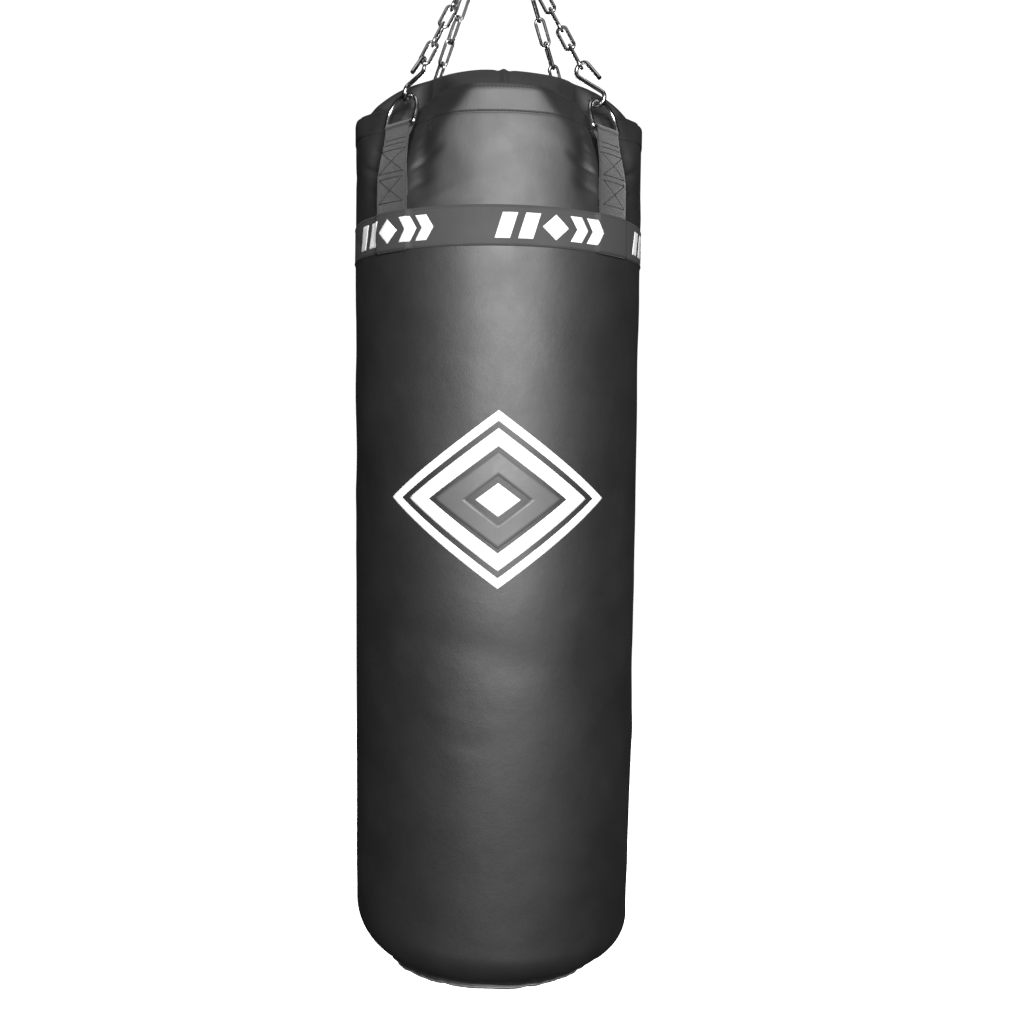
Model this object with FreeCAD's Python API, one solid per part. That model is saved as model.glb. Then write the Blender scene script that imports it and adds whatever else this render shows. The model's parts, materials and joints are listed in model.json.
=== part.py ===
import FreeCAD, Part
import math
import os

from FreeCAD import Placement, Rotation, Vector

# Hanging heavy bag: a filled vinyl cylinder on four webbing straps, D-rings, S-hooks and
# chains, gathered on one ring below a ball-bearing swivel.
# Millimetres, +Z up, origin at the centre of the hanging eye's bore, the bag's front on -Y.
# An azimuth is measured from the front, -Y, towards +X. A height "below the rim" is negative.

# ---- driving dimensions: bag ----
BAG_RADIUS = 178.0
SEAM_DEPTH = 1029.0  # rim to bottom seam
CORNER_RADIUS = 45.0
SEAM_RADIUS = 140.0
BOTTOM_SAG = 12.0
VINYL = 2.0
HEM_HEIGHT = 31.5
WELT_RADIUS = 1.6
STRIP_WIDTH = 30.0  # vinyl strip over the shell's closing seam, at the back
STRIP_THICK = 1.0
SOFT_GAP = 0.3
CORNERS = {"fl": -45.0, "fr": 45.0, "bl": -135.0, "br": 135.0}

# ---- driving dimensions: rim dents, where the slings pull the vinyl in ----
DENT_REACH = 140.0  # how near the axis the dent comes at the rim
DENT_LEAN = 22.0
DENT_RADIUS = 110.0
SCOOP_REACH = 133.0  # the small pocket that the hook lies in
SCOOP_RADIUS = 15.0
LID_DENT_REACH = 133.0
LID_SCOOP_REACH = 126.3
LID_DENT_LEAN = 9.0
LID_DENT_RADIUS = 126.0
LID_SCOOP_RADIUS = 20.0
CUTTER_HALF = 140.0

# ---- driving dimensions: top lid and its zip ----
LID_RISE = 44.0
LID_FLAT = 50.0
LID_CURVE = 194.0
LID_RADIUS = 173.7
ZIP_TAPE = (28.0, 170.0, 0.8)  # width, length, thickness
ZIP_COIL = (6.0, 156.0, 1.4)
ZIP_LIFT = 0.2  # tape over lid
COIL_GAP = 0.1  # coil over tape
SLIDER_START = 60.0
SLIDER_LENGTH = 14.0
SLIDER_WALL = 1.6
SLIDER_CORNER = 1.4
SLIDER_GAP = 0.4
BRIDGE_WIDTH = 3.0
BRIDGE_LENGTH = 9.0
BRIDGE_HOLE = 1.2
PULL_LENGTH = 26.0
PULL_WIRE = 0.9
PULL_BEND = 1.0
PULL_HALF = 3.6
PULL_REACH = 7.0
PULL_DROOP = 6.5
PULL_TAB = (9.0, 1.8)  # width, thickness

# ---- driving dimensions: straps, D-rings and printed band ----
STRAP_WIDTH = 50.0
STRAP_NECK = 39.6
STRAP_THICK = 2.4
STRAP_TOP = -35.0
LEAN_DEPTH = -82.0  # above this the strap leans in with the dent
NECK_DEPTH = -51.0
TAPER_DEPTH = -63.0
STRAP_END = -175.5
STRAP_FIT = 0.2
BAND_TOP = -130.2
BAND_BOTTOM = -174.6
BAND_THICK = 0.7
BAND_GAP = 0.2
BRIDGE_GAP = 0.4  # sideways, between a strap and the band's step over it
BRIDGE_WALL = 0.8
BAR_RADIUS = 167.0  # D-ring bar to bag axis
BAR_DEPTH = -33.0
D_WIRE = 2.5
D_WIDTH = 47.0
D_HEIGHT = 38.0
D_CORNER = 3.4
D_LEAN = 16.8

# ---- driving dimensions: hooks, chains and gather ring ----
HOOK_WIRE = 2.5
HOOK_BEND = 8.75
HOOK_SPAN = 61.0  # wire centre to wire centre, end to end
HOOK_INNER_LEG = 6.0
HOOK_OUTER_LEG = 26.0
HOOK_SPLAY = 10.0
LINK_WIRE = 2.0
LINK_INNER = 29.5
LINK_OPENING = 7.0
LINKS = 8
LINK_SLACK = 0.1
HOOK_SLACK = 0.15
D_SLACK = 0.6  # where the sling's closed loop is left open, between hook and D-ring
RING_WIRE = 2.5
RING_RADIUS = 25.0
# where each top link hangs on the ring, the twist its chain gains on the way down, and how far
# its hook is rolled off the radial plane, all in degrees
SLINGS = {
    "fl": (-14.0, 0.0, 34.0),
    "fr": (14.0, 72.0, 8.0),
    "bl": (-30.0, 45.0, -8.0),
    "br": (30.0, 90.0, -33.0),
}
TWISTED_LINKS = 4

# ---- driving dimensions: swivel ----
EYE_BORE = 8.0
EYE_RADIUS = 17.0
EYE_THICK = 10.0
EYE_CHAMFER = 1.0
STUD_RADIUS = 7.0
COLLAR_RADIUS = 10.0
COLLAR_TOP = -12.0
STUD_END = -34.0
HOUSING_TOP = -22.0
HOUSING_BOTTOM = -60.0
HOUSING_RADIUS = 18.0
HOUSING_SHOULDER = 5.0
CHAMBER_RADIUS = 14.0
CHAMBER_TOP = -36.0
CAP_THICK = 4.0
SPIGOT = 3.0
SCREW_RADIUS = 1.4
SCREW_DEPTH = 9.0
SCREW_HEAD = (2.6, 2.2)  # radius, height
SCREW_SOCKET = (1.2, 1.2)  # radius, depth
SCREW_AZIMUTHS = (0, 120, 240)
BOLT_RADIUS = 6.0
BOLT_TOP = -39.0
LOOP_RADIUS = 14.0
LOOP_WIRE = 4.0
LOOP_CENTRE = -84.0
RACE_THICK = 2.5
RACE_GAP = 0.6
BOLT_GAP = 0.3
BALL_RADIUS = 2.2
BALL_CIRCLE = 9.7
BALLS = 9
NUT_HEIGHT = 6.6
NUT_FLATS = 18.0
FIT = 0.05

# ---- driving dimensions: filling ----
FOAM = 15.0
FOAM_TOP = -118.0
PAD_TOP = -1000.0
PAD_GAP = 1.0
PAD_NECK = 135.0
FILLING_NECK = 120.0
CORE_RADIUS = 50.0
CORE_TOP = -330.0
CORE_BOTTOM = -930.0
CORE_SKIN = 1.0
CORE_GAP = 0.1
CORE_ROOM = 2.0

X_AXIS = Vector(1, 0, 0)
Y_AXIS = Vector(0, 1, 0)
Z_AXIS = Vector(0, 0, 1)


def polar(azimuth, radius, height):
    """Point at an azimuth from the front, a radius from the axis and a height."""
    turn = math.radians(azimuth)
    return Vector(radius * math.sin(turn), -radius * math.cos(turn), height)


# ---- places that follow from the driving dimensions ----
SCREW_CIRCLE = (HOUSING_RADIUS + CHAMBER_RADIUS) / 2
RACE_FLOOR = HOUSING_BOTTOM + SPIGOT
BALL_HEIGHT = RACE_FLOOR + RACE_THICK + BALL_RADIUS
UPPER_RACE = BALL_HEIGHT + BALL_RADIUS
NUT_FLOOR = UPPER_RACE + RACE_THICK
LOOP_FLOOR = LOOP_CENTRE - LOOP_RADIUS + LOOP_WIRE
RING_TOP = LOOP_FLOOR + RING_WIRE + HOOK_SLACK
RING_CENTRE = RING_TOP - RING_RADIUS
LINK_STEP = LINK_INNER - LINK_SLACK
FIRST_LINK = LINK_INNER / 2 - RING_WIRE - HOOK_SLACK
HOOK_MIDDLE = HOOK_SPAN / 2 - (D_WIRE + HOOK_WIRE + D_SLACK)
LAST_LINK = HOOK_MIDDLE + HOOK_SPAN / 2 + LINK_INNER / 2 - HOOK_WIRE - HOOK_SLACK
SLING_LENGTH = FIRST_LINK + (LINKS - 1) * LINK_STEP + LAST_LINK
D_TOP_RADIUS = BAR_RADIUS - D_HEIGHT * math.sin(math.radians(D_LEAN))
D_TOP_DEPTH = BAR_DEPTH + D_HEIGHT * math.cos(math.radians(D_LEAN))


def ring_point(angle):
    """Centre of the gather ring's wire, at an angle from its lowest point."""
    turn = math.radians(angle)
    return Vector(RING_RADIUS * math.sin(turn), 0, RING_CENTRE - RING_RADIUS * math.cos(turn))


def rim_height():
    """Height of the bag's rim that draws the front chains straight."""
    hang = ring_point(SLINGS["fr"][0])
    hook = polar(CORNERS["fr"], D_TOP_RADIUS, 0)
    drop = math.sqrt(SLING_LENGTH**2 - (hook.x - hang.x) ** 2 - hook.y**2)
    return hang.z - drop - D_TOP_DEPTH


RIM = rim_height()
CORNER_RISE = math.sqrt(CORNER_RADIUS**2 - (SEAM_RADIUS - BAG_RADIUS + CORNER_RADIUS) ** 2)
CORNER_HEIGHT = RIM - SEAM_DEPTH + CORNER_RISE


COIL_LIFT = ZIP_LIFT + ZIP_TAPE[2] + COIL_GAP
COIL_TOP = RIM + LID_RISE + COIL_LIFT + ZIP_COIL[2]
SLIDER_ROOF = COIL_TOP + SLIDER_GAP + COIL_GAP
PULL_AXIS = SLIDER_ROOF + BRIDGE_HOLE + PULL_WIRE + 2 * PULL_TAB[1] / 2


# ---- shape helpers ----
def cylinder(radius, low, high, azimuth=0.0, offset=0.0):
    """Upright cylinder between two heights."""
    return Part.makeCylinder(radius, high - low, polar(azimuth, offset, low))


def tube(inner, outer, low, high):
    return cylinder(outer, low, high).cut(cylinder(inner, low - 1, high + 1))


def turned(edges):
    """Solid of revolution about Z from a closed outline in the XZ plane."""
    return Part.Face(Part.Wire(edges)).revolve(Vector(0, 0, 0), Z_AXIS, 360)


def line(start, end):
    return Part.LineSegment(Vector(start[0], 0, start[1]), Vector(end[0], 0, end[1])).toShape()


def arc(start, middle, end):
    points = [Vector(p[0], 0, p[1]) for p in (start, middle, end)]
    return Part.Arc(*points).toShape()


def fuse(shapes):
    return shapes[0].multiFuse(shapes[1:]).removeSplitter() if len(shapes) > 1 else shapes[0]


def bent_rod(start, heading, steps, wire_radius):
    """Round rod bent in the XZ plane. A step is a length, or a bend's (radius, degrees),
    with a positive radius turning from +Z towards +X."""
    pieces = []
    place = Vector(*start)
    for step in steps:
        turn = math.radians(heading)
        ahead = Vector(math.sin(turn), 0, math.cos(turn))
        section = Part.Face(Part.Wire(Part.makeCircle(wire_radius, place, ahead)))
        if isinstance(step, tuple):
            radius, bend = step
            side = math.copysign(1, radius)
            centre = place + Vector(math.cos(turn), 0, -math.sin(turn)) * radius
            pieces.append(section.revolve(centre, Y_AXIS * side, bend))
            place = centre + Rotation(Y_AXIS, side * bend).multVec(place - centre)
            heading += side * bend
        else:
            pieces.append(section.extrude(ahead * step))
            place = place + ahead * step
    return fuse(pieces)


def placed(shape, origin, across, along):
    """Copy of a shape with its X axis across, its Z axis along and its origin at a point."""
    copy = shape.copy()
    copy.Placement = Placement(origin, Rotation(across, along.cross(across), along, "ZXY"))
    return copy


def square_to(vector, axis):
    """The part of a vector that is square to an axis, at unit length."""
    result = vector - axis * vector.dot(axis)
    return result.normalize()


# ---- bag outline and dents ----
def bag_form(inset, low=None, high=0.0):
    """The bag's outside, moved in by an inset and cut off between two depths below the rim."""
    radius = BAG_RADIUS - inset
    bend = CORNER_RADIUS - inset
    flat = radius - bend
    base = CORNER_HEIGHT - bend
    top = RIM + high
    middle = math.radians(45)
    knee = (flat + bend * math.cos(middle), CORNER_HEIGHT - bend * math.sin(middle))
    outline = [
        line((0, top), (radius, top)),
        line((radius, top), (radius, CORNER_HEIGHT)),
        arc((radius, CORNER_HEIGHT), knee, (flat, base)),
        line((flat, base), (0, base)),
        line((0, base), (0, top)),
    ]
    form = turned(outline)
    if low is not None:
        form = form.common(cylinder(BAG_RADIUS, RIM + low, top))
    return form


def dent_cutter(azimuth, reach, lean, radius):
    """Leaning cylinder whose innermost line passes the rim at a reach from the bag's axis."""
    tilt = math.radians(lean)
    ahead = polar(azimuth, -math.sin(tilt), math.cos(tilt))
    outward = polar(azimuth, math.cos(tilt), math.sin(tilt))
    base = polar(azimuth, reach, RIM) + outward * radius - ahead * CUTTER_HALF
    return Part.makeCylinder(radius, 2 * CUTTER_HALF, base, ahead)


def dented(shape, inset, main, scoop, lean):
    """A shape with its four dents, each one moved in by an inset."""
    shift = inset / math.cos(math.radians(lean))
    cutters = []
    for azimuth in CORNERS.values():
        for reach, radius in (main, scoop):
            cutters.append(dent_cutter(azimuth, reach - shift, lean, radius + inset))
    return shape.cut(cutters)


def shell_dented(shape, inset):
    return dented(shape, inset, (DENT_REACH, DENT_RADIUS), (SCOOP_REACH, SCOOP_RADIUS), DENT_LEAN)


def lid_form(inset):
    """The lid's domed outside, moved in by an inset, down to the hem's stitching."""
    top = RIM + LID_RISE - inset
    curve = LID_CURVE - inset
    edge = LID_RADIUS - inset
    run = edge - LID_FLAT
    fall = curve - math.sqrt(curve**2 - run**2)
    half = LID_FLAT + run / 2
    half_fall = curve - math.sqrt(curve**2 - (run / 2) ** 2)
    base = RIM - HEM_HEIGHT
    return turned(
        [
            line((0, base), (0, top)),
            line((0, top), (LID_FLAT, top)),
            arc((LID_FLAT, top), (half, top - half_fall), (edge, top - fall)),
            line((edge, top - fall), (edge, base)),
            line((edge, base), (0, base)),
        ]
    )


def lid_solid(inset):
    main = (LID_DENT_REACH, LID_DENT_RADIUS)
    scoop = (LID_SCOOP_REACH, LID_SCOOP_RADIUS)
    return dented(lid_form(inset), inset, main, scoop, LID_DENT_LEAN)


def sag_lens(inset):
    """The sagging bottom, below the seam, moved in by an inset."""
    sphere_radius = (SEAM_RADIUS**2 + BOTTOM_SAG**2) / (2 * BOTTOM_SAG)
    seam = RIM - SEAM_DEPTH
    centre = seam - BOTTOM_SAG + sphere_radius
    ball = Part.makeSphere(sphere_radius - inset, Vector(0, 0, centre))
    return ball.common(cylinder(SEAM_RADIUS - SOFT_GAP, seam - 2 * BOTTOM_SAG, seam + VINYL))


def side_prism(azimuth, outline):
    """Prism that stands out from the bag's axis, from a (sideways, depth) outline."""
    sideways = polar(azimuth + 90, 1, 0)
    outward = polar(azimuth, 1, 0)
    corners = [sideways * s + Z_AXIS * (RIM + d) for s, d in outline]
    face = Part.Face(Part.makePolygon(corners + corners[:1]))
    return face.extrude(outward * 2 * BAG_RADIUS)


def side_box(azimuth, width, low, high):
    half = width / 2
    return side_prism(azimuth, [(-half, low), (half, low), (half, high), (-half, high)])


# ---- swivel ----
def make_hanging_eye():
    bore = Part.makeCylinder(EYE_BORE, EYE_THICK, Vector(0, -EYE_THICK / 2, 0), Y_AXIS)
    eye = Part.makeCylinder(EYE_RADIUS, EYE_THICK, Vector(0, -EYE_THICK / 2, 0), Y_AXIS)
    collar = cylinder(COLLAR_RADIUS, HOUSING_TOP, COLLAR_TOP)
    stud = cylinder(STUD_RADIUS, STUD_END, HOUSING_TOP + 1)
    solid = fuse([eye, collar, stud]).cut(bore)
    for side in (-1, 1):
        mouth = Vector(0, side * EYE_THICK / 2, 0)
        wide = EYE_BORE + EYE_CHAMFER
        solid = solid.cut(Part.makeCone(wide, EYE_BORE, EYE_CHAMFER, mouth, Y_AXIS * -side))
    return solid


def make_swivel_housing():
    body = cylinder(HOUSING_RADIUS, HOUSING_BOTTOM, HOUSING_TOP)
    shoulder = [e for e in body.Edges if abs(e.CenterOfMass.z - HOUSING_TOP) < 1e-6]
    body = body.makeFillet(HOUSING_SHOULDER, shoulder)
    body = body.cut(cylinder(CHAMBER_RADIUS, HOUSING_BOTTOM - 1, CHAMBER_TOP))
    body = body.cut(cylinder(STUD_RADIUS + FIT, CHAMBER_TOP - 1, HOUSING_TOP + 1))
    return body.cut(cap_screw_shanks(FIT))


def cap_screw_shanks(gap):
    low, high = HOUSING_BOTTOM - CAP_THICK, HOUSING_BOTTOM + SCREW_DEPTH + gap
    return [cylinder(SCREW_RADIUS + gap, low, high, a, SCREW_CIRCLE) for a in SCREW_AZIMUTHS]


def make_swivel_cap():
    flange = cylinder(HOUSING_RADIUS, HOUSING_BOTTOM - CAP_THICK, HOUSING_BOTTOM)
    spigot = cylinder(CHAMBER_RADIUS - FIT, HOUSING_BOTTOM, HOUSING_BOTTOM + SPIGOT)
    low, high = HOUSING_BOTTOM - CAP_THICK - 1, HOUSING_BOTTOM + SPIGOT + 1
    hole = cylinder(BOLT_RADIUS + BOLT_GAP, low, high)
    return fuse([flange, spigot]).cut([hole] + cap_screw_shanks(FIT))


def make_cap_screws():
    under = HOUSING_BOTTOM - CAP_THICK
    head_radius, head_height = SCREW_HEAD
    socket_radius, socket_depth = SCREW_SOCKET
    screws = []
    for azimuth, shank in zip(SCREW_AZIMUTHS, cap_screw_shanks(0)):
        floor = under - head_height
        head = cylinder(head_radius, floor, under, azimuth, SCREW_CIRCLE)
        socket = cylinder(socket_radius, floor - 1, floor + socket_depth, azimuth, SCREW_CIRCLE)
        screws.append(fuse([shank, head]).cut(socket))
    return Part.makeCompound(screws)


def make_lower_race():
    inner, outer = BOLT_RADIUS + RACE_GAP, CHAMBER_RADIUS - RACE_GAP
    return tube(inner, outer, RACE_FLOOR, RACE_FLOOR + RACE_THICK)


def make_balls():
    places = [polar(360 * i / BALLS, BALL_CIRCLE, BALL_HEIGHT) for i in range(BALLS)]
    return Part.makeCompound([Part.makeSphere(BALL_RADIUS - FIT, p) for p in places])


def make_upper_race():
    return tube(BOLT_RADIUS + FIT, CHAMBER_RADIUS - RACE_GAP, UPPER_RACE, NUT_FLOOR)


def make_lock_nut():
    corner = NUT_FLATS / 2 / math.cos(math.radians(30))
    corners = [polar(60 * i, corner, NUT_FLOOR) for i in range(7)]
    nut = Part.Face(Part.makePolygon(corners)).extrude(Z_AXIS * NUT_HEIGHT)
    return nut.cut(cylinder(BOLT_RADIUS + FIT, NUT_FLOOR - 1, NUT_FLOOR + NUT_HEIGHT + 1))


def make_eye_bolt():
    loop = Part.makeTorus(LOOP_RADIUS, LOOP_WIRE, Vector(0, 0, LOOP_CENTRE), X_AXIS)
    shank = cylinder(BOLT_RADIUS, LOOP_CENTRE + LOOP_RADIUS, BOLT_TOP)
    return fuse([loop, shank])


# ---- gather ring, chains, hooks and D-rings ----
def make_gather_ring():
    return Part.makeTorus(RING_RADIUS, RING_WIRE, Vector(0, 0, RING_CENTRE), Y_AXIS)


def link_shape():
    bend = LINK_OPENING / 2 + LINK_WIRE
    straight = LINK_INNER - LINK_OPENING
    steps = [straight, (bend, 180), straight, (bend, 180)]
    return bent_rod((-bend, 0, -straight / 2), 0, steps, LINK_WIRE)


def hook_shape():
    """S-hook about its middle: +X is the outer side, +Z the chain's end."""
    centre = HOOK_SPAN / 2 - HOOK_BEND
    lean = math.degrees(math.asin(HOOK_BEND / centre))
    spine = 2 * math.sqrt(centre**2 - HOOK_BEND**2)
    steps = [
        HOOK_INNER_LEG,
        (-HOOK_BEND, 180 + lean),
        spine,
        (HOOK_BEND, 180 - HOOK_SPLAY + lean),
        HOOK_OUTER_LEG,
    ]
    return bent_rod((-HOOK_BEND, 0, HOOK_INNER_LEG - centre), 180, steps, HOOK_WIRE)


def d_ring_shape():
    """D-ring with the middle of its bar at the origin and its bow towards +Z."""
    bow = D_WIDTH / 2
    bar = D_WIDTH - 2 * D_CORNER
    leg = D_HEIGHT - bow - D_CORNER
    steps = [bar, (D_CORNER, 90), leg, (bow, 180), leg, (D_CORNER, 90)]
    return bent_rod((bar / 2, 0, 0), -90, steps, D_WIRE)


def sling_line(corner):
    """The chain's two ends, on the ring and on the D-ring, and the way up between them."""
    top = ring_point(SLINGS[corner][0])
    low = polar(CORNERS[corner], D_TOP_RADIUS, RIM + D_TOP_DEPTH)
    return top, low, (top - low).normalize()


def make_chain(corner):
    top, low, up = sling_line(corner)
    hang_angle, extra_turn, _ = SLINGS[corner]
    turn = math.radians(hang_angle)
    ring_way = Vector(math.cos(turn), 0, math.sin(turn))
    across = square_to(ring_way, up).cross(up)
    link = link_shape()
    links = []
    for i in range(LINKS):
        roll = 90 * i + extra_turn * min(i, TWISTED_LINKS) / TWISTED_LINKS
        centre = top - up * (FIRST_LINK + i * LINK_STEP)
        links.append(placed(link, centre, Rotation(up, roll).multVec(across), up))
    return Part.makeCompound(links)


def make_hook(corner):
    _, low, up = sling_line(corner)
    roll = SLINGS[corner][2]
    outward = square_to(polar(CORNERS[corner], 1, 0), up)
    outward = Rotation(up, roll).multVec(outward)
    return placed(hook_shape(), low + up * HOOK_MIDDLE, outward, up)


def make_d_ring(corner):
    azimuth = CORNERS[corner]
    tilt = math.radians(D_LEAN)
    lean = polar(azimuth, -math.sin(tilt), math.cos(tilt))
    bar = polar(azimuth, BAR_RADIUS, RIM + BAR_DEPTH)
    return placed(d_ring_shape(), bar, polar(azimuth + 90, 1, 0), lean)


# ---- straps and band ----
def make_strap(corner):
    azimuth = CORNERS[corner]
    wide, neck = STRAP_WIDTH / 2, STRAP_NECK / 2
    right = [(wide, STRAP_END), (wide, TAPER_DEPTH), (neck, NECK_DEPTH), (neck, STRAP_TOP)]
    left = [(-s, d) for s, d in reversed(right)]
    inner = BAG_RADIUS + SOFT_GAP
    neck_inner = BAR_RADIUS - STRAP_THICK / 2
    section = [(inner, STRAP_END), (inner, LEAN_DEPTH), (neck_inner, STRAP_TOP)]
    section += [(r + STRAP_THICK, d) for r, d in reversed(section)]
    corners = [(r, RIM + d) for r, d in section]
    sleeve = turned([line(a, b) for a, b in zip(corners, corners[1:] + corners[:1])])
    webbing = sleeve.common(side_prism(azimuth, right + left))
    start = polar(azimuth, BAR_RADIUS, RIM + BAR_DEPTH) - polar(azimuth + 90, neck, 0)
    loop = Part.makeCylinder(2 * D_WIRE, STRAP_NECK, start, polar(azimuth + 90, 1, 0))
    eye = Part.makeCylinder(D_WIRE + STRAP_FIT, STRAP_NECK, start, polar(azimuth + 90, 1, 0))
    return fuse([webbing, loop]).cut(eye)


def make_band():
    """Printed band round the bag, stepping over each strap."""
    inner = BAG_RADIUS + BAND_GAP
    over = BAG_RADIUS + 2 * SOFT_GAP + STRAP_THICK
    low, high = RIM + BAND_BOTTOM, RIM + BAND_TOP
    band = tube(inner, inner + BAND_THICK, low, high)
    step = tube(inner, over + BAND_THICK, low, high)
    room = tube(inner - 1, over, low - 1, high + 1)
    clear = STRAP_WIDTH + 2 * BRIDGE_GAP
    wide = clear + 2 * BRIDGE_WALL
    for azimuth in CORNERS.values():
        band = band.fuse(step.common(side_box(azimuth, wide, BAND_BOTTOM - 1, BAND_TOP + 1)))
    for azimuth in CORNERS.values():
        band = band.cut(room.common(side_box(azimuth, clear, BAND_BOTTOM - 2, BAND_TOP + 2)))
    return band.removeSplitter()


# ---- bag skins and filling ----
def make_shell():
    outside = shell_dented(bag_form(0), 0)
    inside = shell_dented(bag_form(VINYL, high=1.0), VINYL)
    mouth = cylinder(SEAM_RADIUS, RIM - SEAM_DEPTH - BOTTOM_SAG, CORNER_HEIGHT - CORNER_RADIUS / 2)
    return outside.cut([inside, mouth])


def make_hem():
    outside = shell_dented(bag_form(VINYL, -HEM_HEIGHT), VINYL)
    inside = shell_dented(bag_form(2 * VINYL, -HEM_HEIGHT - 1, 1.0), 2 * VINYL)
    return outside.cut(inside)


def make_bottom_panel():
    return sag_lens(0).cut(sag_lens(VINYL))


def make_bottom_welt():
    height = RIM - SEAM_DEPTH - WELT_RADIUS - SOFT_GAP
    return Part.makeTorus(SEAM_RADIUS + WELT_RADIUS / 3, WELT_RADIUS, Vector(0, 0, height), Z_AXIS)


def make_back_strip():
    inner = BAG_RADIUS + SOFT_GAP
    low, high = CORNER_HEIGHT - RIM, BAND_BOTTOM - 1
    sleeve = tube(inner, inner + STRIP_THICK, RIM + low, RIM + high)
    return sleeve.common(side_box(180, STRIP_WIDTH, low, high))


def make_lid():
    return lid_solid(0).cut(lid_solid(VINYL))


def zip_strip(size, lift):
    """Strip of zip along Y on top of the lid, a little above it."""
    width, length, thick = size
    upper, lower = lid_form(-lift - thick), lid_form(-lift)
    corner = Vector(-width / 2, -length / 2, RIM + LID_RISE / 2)
    box = Part.makeBox(width, length, LID_RISE, corner)
    return upper.cut(lower).common(box)


def upright_edges(shape):
    return [e for e in shape.Edges if abs(e.Vertexes[0].Z - e.Vertexes[-1].Z) > 1]


def make_slider():
    """Zip slider: a saddle over the coil with a bridge that holds the pull."""
    half_gap = ZIP_COIL[0] / 2 + SLIDER_GAP
    half = half_gap + SLIDER_WALL
    floor = RIM + LID_RISE + COIL_LIFT + ZIP_LIFT
    back = SLIDER_START - SLIDER_LENGTH / 2
    height = SLIDER_ROOF + SLIDER_WALL - floor
    saddle = Part.makeBox(2 * half, SLIDER_LENGTH, height, Vector(-half, back, floor))
    saddle = saddle.makeFillet(SLIDER_CORNER, upright_edges(saddle))
    room = (2 * half_gap, SLIDER_LENGTH + 2, SLIDER_ROOF - floor + 1)
    channel = Part.makeBox(*room, Vector(-half_gap, back - 1, floor - 1))
    tall = PULL_AXIS + PULL_WIRE + PULL_BEND - SLIDER_ROOF
    corner = Vector(-BRIDGE_WIDTH / 2, SLIDER_START - BRIDGE_LENGTH / 2, SLIDER_ROOF)
    bridge = Part.makeBox(BRIDGE_WIDTH, BRIDGE_LENGTH, tall, corner)
    side = Vector(-BRIDGE_WIDTH, SLIDER_START, PULL_AXIS)
    hole = Part.makeCylinder(BRIDGE_HOLE, 2 * BRIDGE_WIDTH, side, X_AXIS)
    return fuse([saddle.cut(channel), bridge]).cut(hole)


def make_pull():
    """Zip pull: a wire loop through the slider's bridge and a flat tab, lying to the back."""
    across = 2 * (PULL_HALF - PULL_BEND)
    corner = (PULL_BEND, 90)
    steps = [across, corner, PULL_REACH, corner, across, corner, PULL_REACH, corner]
    loop = bent_rod((PULL_HALF - PULL_BEND, 0, 0), -90, steps, PULL_WIRE)
    width, thick = PULL_TAB
    start = PULL_REACH + 2 * PULL_BEND - PULL_WIRE / 2
    tab = Part.makeBox(width, thick, PULL_LENGTH - start, Vector(-width / 2, -thick / 2, start))
    flat_edges = [e for e in tab.Edges if abs(e.Vertexes[0].Y - e.Vertexes[-1].Y) > 1]
    tab = tab.makeFillet(2 * PULL_BEND, flat_edges)
    droop = math.radians(PULL_DROOP)
    along = Vector(0, math.cos(droop), -math.sin(droop))
    return placed(fuse([loop, tab]), Vector(0, SLIDER_START, PULL_AXIS), X_AXIS, along)


def make_foam():
    outer = BAG_RADIUS - VINYL - SOFT_GAP
    sleeve = tube(outer - FOAM, outer, RIM + PAD_TOP + SOFT_GAP, RIM + FOAM_TOP)
    return sleeve.common(bag_form(VINYL + SOFT_GAP, PAD_TOP, FOAM_TOP))


def make_base_pad():
    """Round pad on the bottom panel, with a boss that fills the panel's sag."""
    seam = RIM - SEAM_DEPTH
    pad = bag_form(VINYL + PAD_GAP, -SEAM_DEPTH, PAD_TOP)
    sag = sag_lens(VINYL + PAD_GAP).common(cylinder(PAD_NECK, seam - BOTTOM_SAG, seam + VINYL))
    return fuse([pad, sag, cylinder(PAD_NECK, seam + VINYL, seam + 3 * VINYL)])


def make_filling():
    inner = BAG_RADIUS - VINYL - FOAM - 2 * SOFT_GAP
    skin = VINYL + 2 * SOFT_GAP
    hem_end = RIM - HEM_HEIGHT - SOFT_GAP
    barrel = cylinder(inner, RIM + PAD_TOP + SOFT_GAP, RIM + FOAM_TOP + SOFT_GAP)
    collar = shell_dented(bag_form(skin, FOAM_TOP + SOFT_GAP, -HEM_HEIGHT - SOFT_GAP), skin)
    crown = lid_solid(VINYL + SOFT_GAP).common(cylinder(BAG_RADIUS, hem_end, RIM + LID_RISE))
    neck = cylinder(FILLING_NECK, RIM + FOAM_TOP, RIM)
    low, high = RIM + CORE_BOTTOM - CORE_ROOM, RIM + CORE_TOP + CORE_ROOM
    core = cylinder(CORE_RADIUS + CORE_SKIN + SOFT_GAP, low, high)
    return fuse([barrel, collar, neck, crown]).cut(core)


def make_core_bag():
    low, high = RIM + CORE_BOTTOM, RIM + CORE_TOP
    outer = cylinder(CORE_RADIUS + CORE_SKIN, low - CORE_SKIN, high + CORE_SKIN)
    return outer.cut(cylinder(CORE_RADIUS + CORE_GAP, low - CORE_GAP, high + CORE_GAP))


def make_core_sand():
    return cylinder(CORE_RADIUS, RIM + CORE_BOTTOM, RIM + CORE_TOP)


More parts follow.
